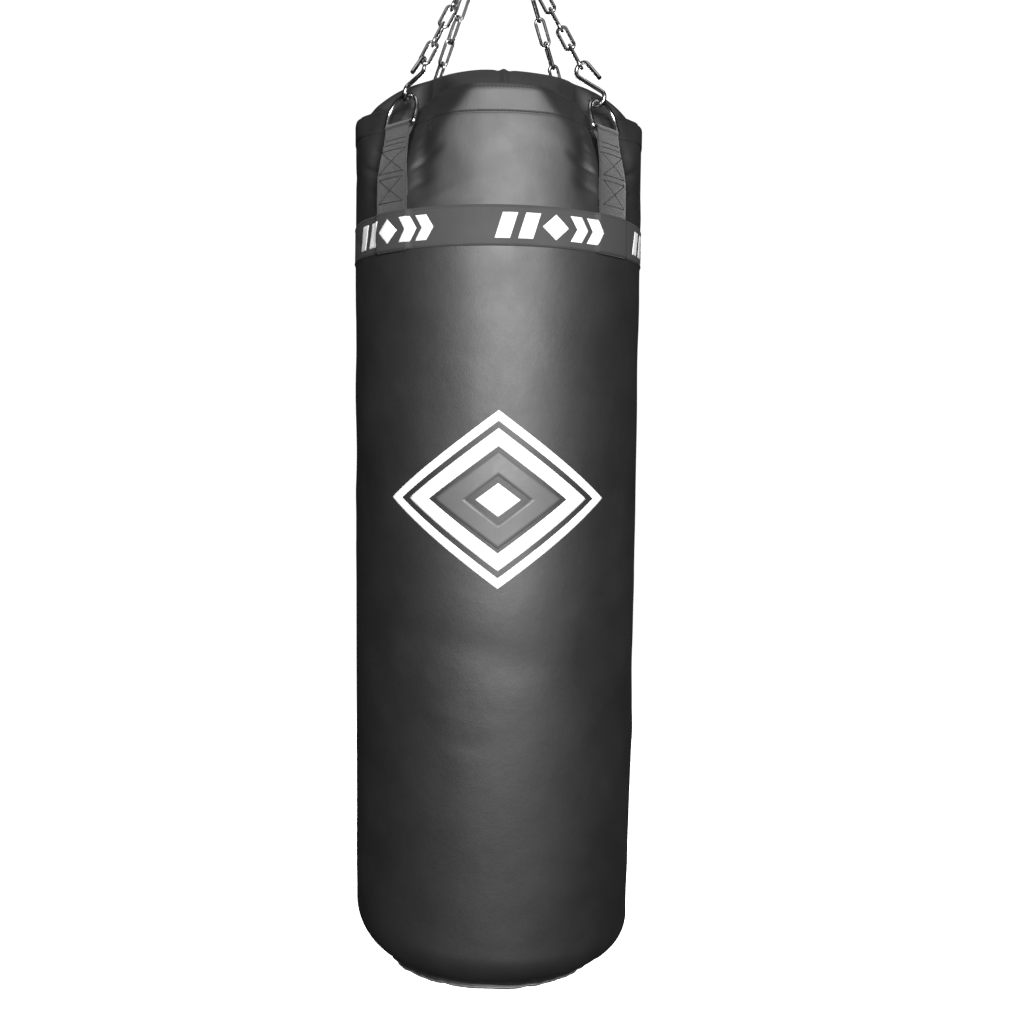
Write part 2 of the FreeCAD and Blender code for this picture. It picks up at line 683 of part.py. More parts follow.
def all_parts():
    parts = {
        "hanging_eye": make_hanging_eye(),
        "swivel_housing": make_swivel_housing(),
        "swivel_cap": make_swivel_cap(),
        "swivel_cap_screws": make_cap_screws(),
        "bearing_lower_race": make_lower_race(),
        "bearing_balls": make_balls(),
        "bearing_upper_race": make_upper_race(),
        "swivel_lock_nut": make_lock_nut(),
        "swivel_eye_bolt": make_eye_bolt(),
        "gather_ring": make_gather_ring(),
        "bag_shell": make_shell(),
        "rim_hem": make_hem(),
        "bottom_panel": make_bottom_panel(),
        "bottom_welt": make_bottom_welt(),
        "back_seam_strip": make_back_strip(),
        "printed_band": make_band(),
        "top_lid": make_lid(),
        "lid_zip_tape": zip_strip(ZIP_TAPE, ZIP_LIFT),
        "lid_zip_coil": zip_strip(ZIP_COIL, COIL_LIFT),
        "zip_slider": make_slider(),
        "zip_pull": make_pull(),
        "foam_liner": make_foam(),
        "base_pad": make_base_pad(),
        "fibre_filling": make_filling(),
        "sand_core_bag": make_core_bag(),
        "sand_core": make_core_sand(),
    }
    for corner in CORNERS:
        parts["strap_" + corner] = make_strap(corner)
        parts["d_ring_" + corner] = make_d_ring(corner)
        parts["s_hook_" + corner] = make_hook(corner)
        parts["chain_" + corner] = make_chain(corner)
    return parts


os.makedirs("parts", exist_ok=True)
PARTS = all_parts()
for name, shape in PARTS.items():
    shape.exportStep("parts/" + name + ".step")
LOWEST = min(shape.BoundBox.ZMin for shape in PARTS.values())
print(f"{len(PARTS)} parts, rim at {RIM:.2f}, lowest point at {LOWEST:.2f}")
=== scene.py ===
"""Hanging heavy bag: black vinyl cylinder on webbing straps, D-rings, S-hooks and chains.

Metres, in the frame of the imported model: +Z up, the bag's front on -Y. An azimuth is in degrees
from the front towards +X, and a depth is measured down from the bag's rim.
"""

import json
import math

import bmesh
import bpy
import numpy as np
from mathutils import Matrix, Vector
from mathutils.bvhtree import BVHTree


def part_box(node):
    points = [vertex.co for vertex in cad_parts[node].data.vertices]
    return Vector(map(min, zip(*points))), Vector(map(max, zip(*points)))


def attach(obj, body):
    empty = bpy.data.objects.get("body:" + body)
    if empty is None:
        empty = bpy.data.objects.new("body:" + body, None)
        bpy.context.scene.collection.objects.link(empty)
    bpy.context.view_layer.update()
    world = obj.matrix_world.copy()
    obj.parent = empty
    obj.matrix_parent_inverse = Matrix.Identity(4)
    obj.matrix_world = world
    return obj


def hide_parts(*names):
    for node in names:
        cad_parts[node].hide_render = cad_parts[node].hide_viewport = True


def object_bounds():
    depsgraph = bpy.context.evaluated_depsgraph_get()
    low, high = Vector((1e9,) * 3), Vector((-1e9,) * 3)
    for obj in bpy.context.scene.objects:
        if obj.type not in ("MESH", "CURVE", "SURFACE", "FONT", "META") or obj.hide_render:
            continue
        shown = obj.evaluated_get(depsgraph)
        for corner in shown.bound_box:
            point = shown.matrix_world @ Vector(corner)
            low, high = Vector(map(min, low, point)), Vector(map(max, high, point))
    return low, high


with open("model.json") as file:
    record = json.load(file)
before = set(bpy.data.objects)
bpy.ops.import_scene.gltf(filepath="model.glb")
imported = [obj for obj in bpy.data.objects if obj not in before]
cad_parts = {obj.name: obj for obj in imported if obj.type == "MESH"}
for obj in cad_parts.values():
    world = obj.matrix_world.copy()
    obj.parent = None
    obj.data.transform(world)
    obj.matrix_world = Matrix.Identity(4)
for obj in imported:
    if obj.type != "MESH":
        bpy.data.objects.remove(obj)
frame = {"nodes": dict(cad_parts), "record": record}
cad_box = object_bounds()

MM = 0.001

# ---- places read from the frame ----
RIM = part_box("bag_shell")[1].z
BAG_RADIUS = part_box("bag_shell")[1].x
BAND_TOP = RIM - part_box("printed_band")[1].z
BAND_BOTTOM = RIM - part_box("printed_band")[0].z
STRAP_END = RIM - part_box("strap_fl")[0].z
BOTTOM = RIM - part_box("bottom_panel")[0].z
ZIP_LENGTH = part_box("lid_zip_coil")[1].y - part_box("lid_zip_coil")[0].y
LID_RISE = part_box("top_lid")[1].z - RIM

# ---- sizes of the sewn pieces ----
CORNERS = {"fl": -45.0, "fr": 45.0, "bl": -135.0, "br": 135.0}
VINYL = 2.0 * MM
HEM = 31.5 * MM
SEAM_RADIUS = 140.0 * MM
BOTTOM_SAG = 9.5 * MM
SEAM_DEPTH = BOTTOM - BOTTOM_SAG
STRAP_WIDTH = 50.0 * MM
STRAP_NECK = 39.4 * MM
STRAP_RADIUS = 180.1 * MM
WEBBING = 1.1 * MM
BAR_RADIUS = 167.0 * MM
BAR_DEPTH = 33.0 * MM
LEAN_DEPTH = 82.0 * MM
BAR_LOOP = 3.9 * MM
THREAD = 0.45 * MM
LID_FLAT = 50.0 * MM
SEAM_GATHERS = (5, 30, 2.6)  # seed, count and width in degrees
SEAM_LOWER = 6.0 * MM
SEAM_SIDE_DIP = 4.5 * MM

# ---- dents at each corner: reach at the rim, radius, and lean in degrees ----
DENT = (0.140, 0.110, 22.0)
SCOOP = (0.133, 0.015, 22.0)
FIBRE_DENT = (0.118, 0.110, 22.0)
LID_WALL = (0.133, 0.126, 9.0)
LID_POCKET = (0.1263, 0.020, 9.0)

# ---- printed marks ----
BAND_MARK_AZIMUTHS = (-47.5, 17.5, 81.5, 146.0, -112.0)
EMBLEM_AZIMUTH = -1.5
EMBLEM_DEPTH = 453.5 * MM
EMBLEM_HALF_WIDE = 134.0 * MM
EMBLEM_HALF_TALL = 100.0 * MM

# ---- camera ----
LENS = 36.64
CAMERA_TURN = -3.5
CAMERA_LEAN = -0.0092
CAMERA_PLACE = (0.02693, -1.3365, -0.3776)
CAMERA_ROLL = 0.0081
CAMERA_PITCH = 0.0769
LID_SHOULDER = 3.3
FIBRE_BELOW_LID = 9.0 * MM
LID_SETTLE = 6.0 * MM


# ---- numbers and shapes ----
def smoothstep(low, high, x):
    t = np.clip((np.asarray(x, float) - low) / (high - low), 0, 1)
    return t * t * (3 - 2 * t)


def bump(x, centre, width):
    return np.exp(-(((x - centre) / width) ** 2))


def soft_min(a, b, k):
    low = np.minimum(a, b)
    return low - k * np.log1p(np.exp(-np.abs(a - b) / k))


def corner_offset(azimuth):
    """Degrees from the nearest strap's azimuth."""
    return np.mod(azimuth, 90.0) - 45.0


def wrapped(azimuth):
    return np.mod(azimuth + 180.0, 360.0) - 180.0


def polar(azimuth, radius, depth):
    azimuth, radius, depth = np.broadcast_arrays(azimuth, radius, depth)
    turn = np.radians(azimuth)
    return np.stack([radius * np.sin(turn), -radius * np.cos(turn), RIM - depth], axis=-1)


def dent_radius(azimuth, depth, reach, radius, lean):
    """Radius of a leaning round dent at each corner, which passes the rim at a reach."""
    off = np.radians(corner_offset(azimuth))
    tilt = math.radians(lean)
    rho = np.full(np.broadcast(off, depth).shape, BAG_RADIUS)
    for _ in range(6):
        side = np.clip(np.abs(rho * np.sin(off)), 0, radius * 0.999)
        out = reach + (radius - np.sqrt(radius**2 - side**2)) / math.cos(tilt) + depth * math.tan(tilt)
        rho = out / np.cos(off)
    return rho


class Folds:
    """Seeded soft dents over the bag, each one a round or long hollow or swelling."""

    def __init__(self, seed, count, depths, sizes, height):
        draw = np.random.RandomState(seed)
        self.azimuth = draw.uniform(-180, 180, count)
        self.depth = draw.uniform(depths[0], depths[1], count)
        self.wide = draw.uniform(sizes[0], sizes[1], count)
        self.tall = draw.uniform(sizes[0] * 0.45, sizes[1] * 0.5, count)
        self.lean = draw.uniform(-0.5, 0.5, count)
        self.height = draw.uniform(-height, height, count)

    def at(self, azimuth, depth):
        total = np.zeros(np.broadcast(azimuth, depth).shape)
        for a, d, wide, tall, lean, height in zip(
            self.azimuth, self.depth, self.wide, self.tall, self.lean, self.height
        ):
            across = np.radians(wrapped(azimuth - a)) * BAG_RADIUS
            down = depth - d + lean * across
            total += height * np.exp(-((across / wide) ** 2) - (down / tall) ** 2)
        return total


BODY_FOLDS = Folds(11, 90, (0.15, 0.99), (0.035, 0.11), 1.5 * MM)
FINE_FOLDS = Folds(37, 150, (0.22, 1.0), (0.010, 0.034), 0.4 * MM)
SMALL_FOLDS = Folds(23, 120, (0.0, 0.2), (0.012, 0.035), 0.8 * MM)


def puckers(azimuth, seed, count, width):
    """Irregular gathers round the bag, 0 on a swelling and down to -1 in a tuck."""
    draw = np.random.RandomState(seed)
    total = np.zeros(np.shape(azimuth))
    for i in range(count):
        centre = 360.0 / count * (i + draw.uniform(-0.38, 0.38))
        spread = width * draw.uniform(0.6, 1.5)
        total -= draw.uniform(0.25, 1.0) * bump(wrapped(azimuth - centre), 0, spread)
    return total


def pull_creases(azimuth, depth):
    """Diagonal creases that run from each strap's edge up and away from it."""
    off = corner_offset(azimuth)
    away, side = np.abs(off), np.sign(off)
    total = np.zeros(np.broadcast(azimuth, depth).shape)
    creases = [
        (84.0, 1.35, 9.5, 24.0, 3.2, 2.6),
        (62.0, 1.6, 9.0, 18.0, 2.4, 2.2),
        (106.0, 1.0, 9.5, 21.0, 1.5, 3.0),
    ]
    for start, slope, near, far, height, width in creases:
        line = start - slope * (away - near) * (1 + 0.12 * side)
        reach = smoothstep(near - 3, near + 1, away) * (1 - smoothstep(far - 8, far, away))
        total -= height * reach * bump(depth / MM, line, width + 0.22 * (away - near))
    return total * MM


def skin_radius(azimuth, depth):
    """Radius of the bag's outside above the bottom corner."""
    off = corner_offset(azimuth)
    away = np.abs(off)
    sideways = np.abs(np.sin(np.radians(azimuth)))
    radius = BAG_RADIUS + np.zeros(np.broadcast(azimuth, depth).shape)
    high = 1 - smoothstep(0.07, 0.185, depth)
    radius -= 1.0 * MM * high * smoothstep(9, 30, away)
    valley = 1 - smoothstep(0.060, 0.135, depth)
    radius -= 8.0 * MM * valley * bump(away, 12.8, 4.6)
    radius += pull_creases(azimuth, depth)
    taper = smoothstep(0.72, 1.0, depth) * np.maximum(np.sin(np.radians(azimuth)), 0)
    radius -= 3.0 * MM * taper
    radius += BODY_FOLDS.at(azimuth, depth) * smoothstep(0.0, 9.0, away + 300 * np.maximum(depth - 0.18, 0))
    radius += SMALL_FOLDS.at(azimuth, depth) * smoothstep(8.0, 12.0, away)
    radius += FINE_FOLDS.at(azimuth, depth)
    radius = soft_min(radius, dent_radius(azimuth, depth, *DENT), 6.0 * MM)
    radius = soft_min(radius, dent_radius(azimuth, depth, *SCOOP), 2.0 * MM)
    roll_in = (5.0 + 6.0 * sideways**3) * MM * smoothstep(14, 30, away)
    roll_down = 9.0 * MM
    bent = np.clip(1 - depth / roll_down, 0, 1)
    radius -= roll_in * (1 - np.sqrt(1 - bent**2 * 0.999))
    radius += 0.8 * MM * (1 - smoothstep(HEM - 1.5 * MM, HEM + 0.4 * MM, depth))
    radius -= 0.9 * MM * bump(depth, HEM - 0.8 * MM, 1.3 * MM)
    radius -= 0.35 * MM * bump(depth, 3.8 * MM, 1.0 * MM)
    return radius


def rim_drop(azimuth):
    """How far the rim's edge sinks towards each strap."""
    away = np.abs(corner_offset(azimuth))
    return 7.0 * MM * (1 - smoothstep(4, 27, away)) + 0.8 * MM * np.sin(np.radians(azimuth * 3 + 20))


# ---- mesh helpers ----
def new_object(name, verts, faces, smooth=True):
    mesh = bpy.data.meshes.new(name)
    mesh.from_pydata([tuple(v) for v in verts], [], [tuple(int(i) for i in f) for f in faces])
    mesh.validate()
    mesh.update()
    if smooth:
        mesh.polygons.foreach_set("use_smooth", [True] * len(mesh.polygons))
    obj = bpy.data.objects.new(name, mesh)
    bpy.context.scene.collection.objects.link(obj)
    return obj


def grid_faces(rows, columns, closed, start=0):
    """Quads of a grid of points, row after row, closed sideways where the rows are rings."""
    faces = []
    last = columns if closed else columns - 1
    for r in range(rows - 1):
        for c in range(last):
            n = (c + 1) % columns
            a, b = start + r * columns, start + (r + 1) * columns
            faces.append((a + c, b + c, b + n, a + n))
    return faces


def loft(name, grid, closed=True, cap_first=False, cap_last=False, weave=None):
    """Surface through a (rows, columns, 3) grid of points, with capped ends where asked."""
    rows, columns = grid.shape[:2]
    verts = grid.reshape(-1, 3)
    faces = grid_faces(rows, columns, closed)
    extra = []
    for wanted, row in ((cap_first, 0), (cap_last, rows - 1)):
        if wanted:
            hub = len(verts) + len(extra)
            extra.append(grid[row].mean(axis=0))
            for c in range(columns):
                n = (c + 1) % columns
                a, b = row * columns + c, row * columns + n
                faces.append((a, b, hub) if row == 0 else (b, a, hub))
    obj = new_object(name, np.vstack([verts] + [np.array(extra)]) if extra else verts, faces)
    if weave is not None:
        field = np.zeros((len(obj.data.vertices), 3))
        field[: rows * columns, :2] = weave.reshape(-1, 2)
        layer = obj.data.attributes.new("cloth", "FLOAT_VECTOR", "POINT")
        layer.data.foreach_set("vector", field.ravel())
    return obj


def thicken(obj, thickness, offset=1.0):
    mod = obj.modifiers.new("thickness", "SOLIDIFY")
    mod.thickness = thickness
    mod.offset = offset
    mod.use_even_offset = True
    return obj


def join(name, objects):
    """One mesh from several."""
    with bpy.context.temp_override(active_object=objects[0], selected_editable_objects=objects):
        bpy.ops.object.join()
    objects[0].name = name
    objects[0].data.name = name
    shape = bmesh.new()
    shape.from_mesh(objects[0].data)
    bmesh.ops.remove_doubles(shape, verts=shape.verts, dist=0.05 * MM)
    shape.to_mesh(objects[0].data)
    shape.free()
    return objects[0]


def finish_piece(obj, body, replaced, material):
    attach(obj, body)
    if replaced:
        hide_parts(*replaced)
    obj.data.materials.clear()
    obj.data.materials.append(material)
    return obj


# ---- stitches ----
class Thread:
    """Collects stitches along lines and turns them into one mesh."""

    def __init__(self, radius=THREAD):
        self.verts = []
        self.faces = []
        self.radius = radius

    def stitch(self, start, end, normal):
        """One stitch: a small bowed capsule between its two needle holes."""
        start, end, normal = (np.asarray(v, float) for v in (start, end, normal))
        along = end - start
        length = np.linalg.norm(along)
        if length < 1e-6:
            return
        along /= length
        side = np.cross(normal, along)
        side /= np.linalg.norm(side)
        up = np.cross(along, side)
        first = len(self.verts)
        steps, around = 6, 6
        for i in range(steps + 1):
            t = i / steps
            swell = math.sin(math.pi * min(max(t, 0.02), 0.98)) ** 0.45
            centre = start + along * length * t + up * self.radius * (0.9 * math.sin(math.pi * t) - 0.5)
            for j in range(around):
                turn = 2 * math.pi * j / around
                ring = side * math.cos(turn) + up * math.sin(turn) * 0.8
                self.verts.append(centre + ring * self.radius * swell)
        self.faces += [tuple(reversed(f)) for f in grid_faces(steps + 1, around, True, first)]
        self.faces.append(tuple(first + j for j in range(around)))
        self.faces.append(tuple(first + steps * around + j for j in reversed(range(around))))

    def row(self, points, normals, pitch, gap=0.28):
        """Stitches along a dense line of points."""
        points, normals = np.asarray(points, float), np.asarray(normals, float)
        steps = np.linalg.norm(np.diff(points, axis=0), axis=1)
        run = np.concatenate([[0], np.cumsum(steps)])
        count = max(1, int(round(run[-1] / pitch)))
        step = run[-1] / count

        def sample(values, at):
            return np.array([np.interp(at, run, values[:, k]) for k in range(3)])

        for i in range(count):
            a, b = (i + gap / 2) * step, (i + 1 - gap / 2) * step
            self.stitch(sample(points, a), sample(points, b), sample(normals, (a + b) / 2))

    def tube(self, points, radius):
        """Round rod through points, closed at both ends."""
        points = np.asarray(points, float)
        first = len(self.verts)
        around = 6
        ahead = np.gradient(points, axis=0)
        for point, way in zip(points, ahead):
            way = way / np.linalg.norm(way)
            side = np.cross(way, (0, 1, 0.01))
            side /= np.linalg.norm(side)
            up = np.cross(way, side)
            for j in range(around):
                turn = 2 * math.pi * j / around
                self.verts.append(point + radius * (side * math.cos(turn) + up * math.sin(turn)))
        rows = len(points)
        self.faces += grid_faces(rows, around, True, first)
        self.faces.append(tuple(first + j for j in reversed(range(around))))
        self.faces.append(tuple(first + (rows - 1) * around + j for j in range(around)))

    def build(self, name):
        return new_object(name, self.verts, self.faces)


# ---- materials ----
class Nodes:
    """Short way to write a material's nodes."""

    def __init__(self, name):
        self.material = bpy.data.materials.new(name)
        self.material.use_nodes = True
        self.tree = self.material.node_tree
        self.shader = next(n for n in self.tree.nodes if n.type == "BSDF_PRINCIPLED")
        self.place = self.add("ShaderNodeTexCoord").outputs["Object"]

    def add(self, kind, **values):
        node = self.tree.nodes.new(kind)
        for key, value in values.items():
            if hasattr(node, key):
                setattr(node, key, value)
            else:
                node.inputs[key].default_value = value
        return node

    def link(self, source, target):
        self.tree.links.new(source, target)
        return source

    def set(self, **values):
        for key, value in values.items():
            self.shader.inputs[key.replace("_", " ")].default_value = value

    def noise(self, scale, detail=3.0, roughness=0.55, where=None, stretch=None):
        where = where or self.place
        if stretch:
            mapping = self.add("ShaderNodeMapping")
            mapping.inputs["Scale"].default_value = stretch
            self.link(where, mapping.inputs["Vector"])
            where = mapping.outputs["Vector"]
        node = self.add("ShaderNodeTexNoise", Scale=scale, Detail=detail, Roughness=roughness)
        self.link(where, node.inputs["Vector"])
        return node.outputs["Fac"]

    def cells(self, scale, feature="DISTANCE_TO_EDGE", where=None):
        node = self.add("ShaderNodeTexVoronoi", feature=feature, Scale=scale)
        self.link(where or self.place, node.inputs["Vector"])
        return node.outputs["Distance"]

    def ramp(self, value, stops):
        node = self.add("ShaderNodeValToRGB")
        ramp = node.color_ramp
        while len(ramp.elements) < len(stops):
            ramp.elements.new(0.5)
        for element, (place, colour) in zip(ramp.elements, stops):
            element.position = place
            element.color = (*colour, 1.0)
        self.link(value, node.inputs["Fac"])
        return node.outputs["Color"]

    def range(self, value, low, high, start=0.3, end=0.7):
        node = self.add("ShaderNodeMapRange")
        for key, number in zip(("From Min", "From Max", "To Min", "To Max"), (start, end, low, high)):
            node.inputs[key].default_value = number
        self.link(value, node.inputs["Value"])
        return node.outputs["Result"]

    def maths(self, operation, a, b=None):
        node = self.add("ShaderNodeMath", operation=operation)
        for socket, value in zip(node.inputs, (a, b)):
            if value is None:
                continue
            if isinstance(value, (int, float)):
                socket.default_value = value
            else:
                self.link(value, socket)
        return node.outputs["Value"]

    def mix(self, factor, first, second):
        node = self.add("ShaderNodeMix", data_type="RGBA")
        self.link(factor, node.inputs["Factor"])
        self.link(first, node.inputs[6])
        self.link(second, node.inputs[7])
        return node.outputs[2]

    def bump(self, height, distance, strength=1.0, under=None):
        node = self.add("ShaderNodeBump", Strength=strength, Distance=distance)
        self.link(height, node.inputs["Height"])
        if under:
            self.link(under, node.inputs["Normal"])
        return node.outputs["Normal"]

    def attribute(self, name):
        node = self.add("ShaderNodeAttribute", attribute_name=name)
        return node.outputs["Vector"]

    def axis(self, vector, index):
        node = self.add("ShaderNodeSeparateXYZ")
        self.link(vector, node.inputs["Vector"])
        return node.outputs[index]

    def to(self, socket, value):
        self.link(value, self.shader.inputs[socket])


def grey(level, tint=0.0):
    return (level, level, level * (1 + tint))


def vinyl_material(name, dark, light, rough, grain=1.0):
    """Coated vinyl: fine leather-like grain, cloudy gloss and faint scuffs."""
    n = Nodes(name)
    cloud = n.noise(5.0, 4.0)
    scuff = n.noise(30.0, 6.0, 0.7, stretch=(1.0, 1.0, 0.35))
    base = n.ramp(cloud, [(0.3, grey(dark, 0.02)), (0.7, grey(light, 0.02))])
    worn = n.ramp(cloud, [(0.3, grey(light * 1.5)), (0.7, grey(light * 1.9))])
    n.to("Base Color", n.mix(n.range(scuff, 0.0, 0.55, 0.6, 0.8), base, worn))
    n.to("Roughness", n.range(n.noise(14.0, 5.0), rough - 0.05, rough + 0.05))
    pores = n.cells(620.0)
    fine = n.noise(1500.0, 2.0)
    soft = n.noise(38.0, 3.0)
    level = n.bump(soft, 0.9 * MM, 0.5)
    level = n.bump(n.range(pores, 0.0, 1.0, 0.0, 0.25), 0.09 * MM, 0.55 * grain, level)
    n.to("Normal", n.bump(fine, 0.03 * MM, 0.5 * grain, level))
    n.set(IOR=1.5, Specular_IOR_Level=0.95)
    return n.material


def print_material(name, level, rough=0.5):
    """Screen-print ink: slightly uneven, with the vinyl's grain under it and tiny bare specks."""
    n = Nodes(name)
    even = n.ramp(n.noise(60.0, 4.0), [(0.3, grey(level * 0.93)), (0.7, grey(level))])
    bare = n.ramp(n.noise(9.0), [(0.0, grey(level * 0.55)), (1.0, grey(level * 0.6))])
    specks = n.range(n.noise(420.0, 3.0), 0.0, 0.5, 0.7, 0.8)
    n.to("Base Color", n.mix(specks, even, bare))
    n.to("Roughness", n.range(n.noise(90.0, 3.0), rough - 0.06, rough + 0.06))
    n.to("Normal", n.bump(n.range(n.cells(620.0), 0.0, 1.0, 0.0, 0.25), 0.05 * MM, 0.5))
    return n.material


def webbing_material(name, dark, light, rib=1.9 * MM):
    """Woven strap: rows of slanted yarns, from the strap's own width and length."""
    n = Nodes(name)
    cloth = n.attribute("cloth")
    across, along = n.axis(cloth, 0), n.axis(cloth, 1)
    rows = n.maths("SINE", n.maths("MULTIPLY", across, 2 * math.pi / rib))
    fold = n.maths("ABSOLUTE", n.maths("SINE", n.maths("MULTIPLY", across, math.pi / rib)))
    slant = n.maths("ADD", along, n.maths("MULTIPLY", fold, 0.5 * rib))
    yarns = n.maths("ABSOLUTE", n.maths("SINE", n.maths("MULTIPLY", slant, math.pi / (0.55 * rib))))
    height = n.maths("ADD", n.maths("MULTIPLY", rows, 0.4), yarns)
    fuzz = n.noise(900.0, 3.0)
    shade = n.maths("ADD", n.maths("MULTIPLY", height, 0.5), n.maths("MULTIPLY", fuzz, 0.45))
    n.to("Base Color", n.ramp(shade, [(0.15, grey(dark)), (0.9, grey(light))]))
    n.to("Roughness", n.range(fuzz, 0.72, 0.9))
    weave = n.bump(height, 0.28 * MM, 0.8)
    n.to("Normal", n.bump(fuzz, 0.12 * MM, 0.4, weave))
    n.set(Sheen_Weight=0.25, Sheen_Roughness=0.5)
    return n.material


def steel_material(name, level, rough, pits=1.0, tint=0.02):
    """Zinc-plated or turned steel: crystalline spangle, fine scratches and dull patches."""
    n = Nodes(name)
    spangle = n.cells(260.0, "F1")
    dull = n.noise(45.0, 5.0, 0.65)
    bright = n.ramp(spangle, [(0.0, grey(level * 0.86, tint)), (0.5, grey(level, tint))])
    grime = n.ramp(dull, [(0.0, grey(level * 0.28)), (1.0, grey(level * 0.45))])
    n.to("Base Color", n.mix(n.range(dull, 0.0, 0.75, 0.56, 0.74), bright, grime))
    n.to("Roughness", n.range(dull, rough - 0.06, rough + 0.14))
    scratch = n.noise(900.0, 3.0, 0.6, stretch=(1.0, 1.0, 0.12))
    level_bump = n.bump(n.noise(210.0, 4.0), 0.12 * MM, 0.5 * pits)
    n.to("Normal", n.bump(scratch, 0.02 * MM, 0.5 * pits, level_bump))
    n.set(Metallic=1.0)
    return n.material


def painted_steel(name, level, rough):
    """Powder-coated steel with orange peel and rubbed patches."""
    n = Nodes(name)
    peel = n.noise(420.0, 2.0)
    rubbed = n.noise(70.0, 6.0, 0.7)
    n.to("Base Color", n.ramp(rubbed, [(0.45, grey(level)), (0.8, grey(level * 2.2))]))
    n.to("Roughness", n.range(rubbed, rough, rough + 0.15))
    n.to("Normal", n.bump(peel, 0.1 * MM, 0.5))
    n.set(Specular_IOR_Level=0.5)
    return n.material


def fabric_material(name, dark, light, pitch):
    """Plain-woven cloth or felted fibre."""
    n = Nodes(name)
    weave = n.cells(1.0 / pitch, "F1")
    fuzz = n.noise(0.4 / pitch, 5.0, 0.7)
    both = n.maths("ADD", n.maths("MULTIPLY", weave, 0.6), n.maths("MULTIPLY", fuzz, 0.6))
    n.to("Base Color", n.ramp(both, [(0.2, dark), (0.9, light)]))
    n.to("Roughness", n.range(fuzz, 0.8, 0.95))
    n.to("Normal", n.bump(both, 0.3 * pitch, 0.8))
    return n.material


def thread_material(name, level):
    """Twisted polyester thread."""
    n = Nodes(name)
    twist = n.noise(2600.0, 2.0, 0.5, stretch=(1.0, 1.0, 0.4))
    n.to("Base Color", n.ramp(twist, [(0.3, grey(level * 0.6)), (0.7, grey(level * 1.3))]))
    n.to("Roughness", n.range(twist, 0.45, 0.65))
    n.to("Normal", n.bump(twist, 0.08 * MM, 0.7))
    return n.material


MATERIALS = {
    "zinc_steel": steel_material("zinc_steel", 0.5, 0.2),
    "chain_steel": steel_material("chain_steel", 0.42, 0.22),
    "swivel_steel": painted_steel("swivel_steel", 0.035, 0.38),
    "screw_steel": steel_material("screw_steel", 0.45, 0.34),
    "bearing_steel": steel_material("bearing_steel", 0.75, 0.14, 0.3),
    "black_vinyl": vinyl_material("black_vinyl", 0.0065, 0.0095, 0.58),
    # Darker, rougher copy of the black vinyl: the darker base colour is painted shade on the lid's top, the
    # rougher finish is the lid's own.
    "lid_vinyl": vinyl_material("lid_vinyl", 0.004, 0.007, 0.66),
    # Much lighter copy of the black vinyl: painted highlight along the bottom seam's piping.
    "welt_vinyl": vinyl_material("welt_vinyl", 0.06, 0.085, 0.55, 0.6),
    "band_print": vinyl_material("band_print", 0.020, 0.026, 0.85, 0.7),
    "webbing": webbing_material("webbing", 0.010, 0.036),
    "zip_tape": webbing_material("zip_tape", 0.012, 0.04, 0.9 * MM),
    "zip_coil": painted_steel("zip_coil", 0.02, 0.35),
    "zip_metal": steel_material("zip_metal", 0.38, 0.3),
    "liner_foam": fabric_material("liner_foam", grey(0.2), grey(0.32), 1.4 * MM),
    "textile_fibre": fabric_material("textile_fibre", (0.25, 0.24, 0.25), (0.6, 0.57, 0.52), 6 * MM),
    "core_cloth": fabric_material("core_cloth", (0.34, 0.31, 0.24), (0.6, 0.56, 0.45), 0.9 * MM),
    "core_sand": fabric_material("core_sand", (0.4, 0.33, 0.22), (0.66, 0.57, 0.42), 0.8 * MM),
}
WHITE_INK = print_material("white_ink", 0.86)
GREY_INK = print_material("grey_ink", 0.10)
BLACK_THREAD = thread_material("black_thread", 0.004)
GREY_THREAD = thread_material("grey_thread", 0.03)


def dress_cad_nodes():
    """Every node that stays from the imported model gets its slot's material."""
    slots = {part["node"]: part["material_slot"] for part in frame["record"]["subparts"]}
    for name, obj in frame["nodes"].items():
        obj.data.materials.clear()
        obj.data.materials.append(MATERIALS[slots[name]])


# ---- bag skin ----
COLUMNS = 400
AZIMUTHS = -180.0 + 360.0 / COLUMNS * np.arange(COLUMNS)


def corner_radius(azimuth):
    """The bottom corner is fuller on the right than on the left."""
    turn = np.radians(azimuth)
    return (46.0 - 13.0 * np.sin(turn) + 3.0 * np.cos(2 * turn)) * MM


def corner_start(azimuth):
    bend = corner_radius(azimuth)
    flat = BAG_RADIUS - bend
    inside = np.maximum(SEAM_RADIUS - flat, 0)
    return SEAM_DEPTH - np.sqrt(bend**2 - inside**2)


def seam_line(azimuth):
    """Radius and depth of the wavy bottom seam."""
    tucks = puckers(azimuth, *SEAM_GATHERS)
    wave = np.sin(np.radians(azimuth * 2 + 60)) + 0.6 * np.sin(np.radians(azimuth * 5))
    low = SEAM_SIDE_DIP * bump(np.abs(wrapped(azimuth)), 55.0, 30.0)
    return SEAM_RADIUS + 1.2 * MM * tucks, SEAM_DEPTH + 0.8 * MM * wave + 0.8 * MM * tucks + low + SEAM_LOWER


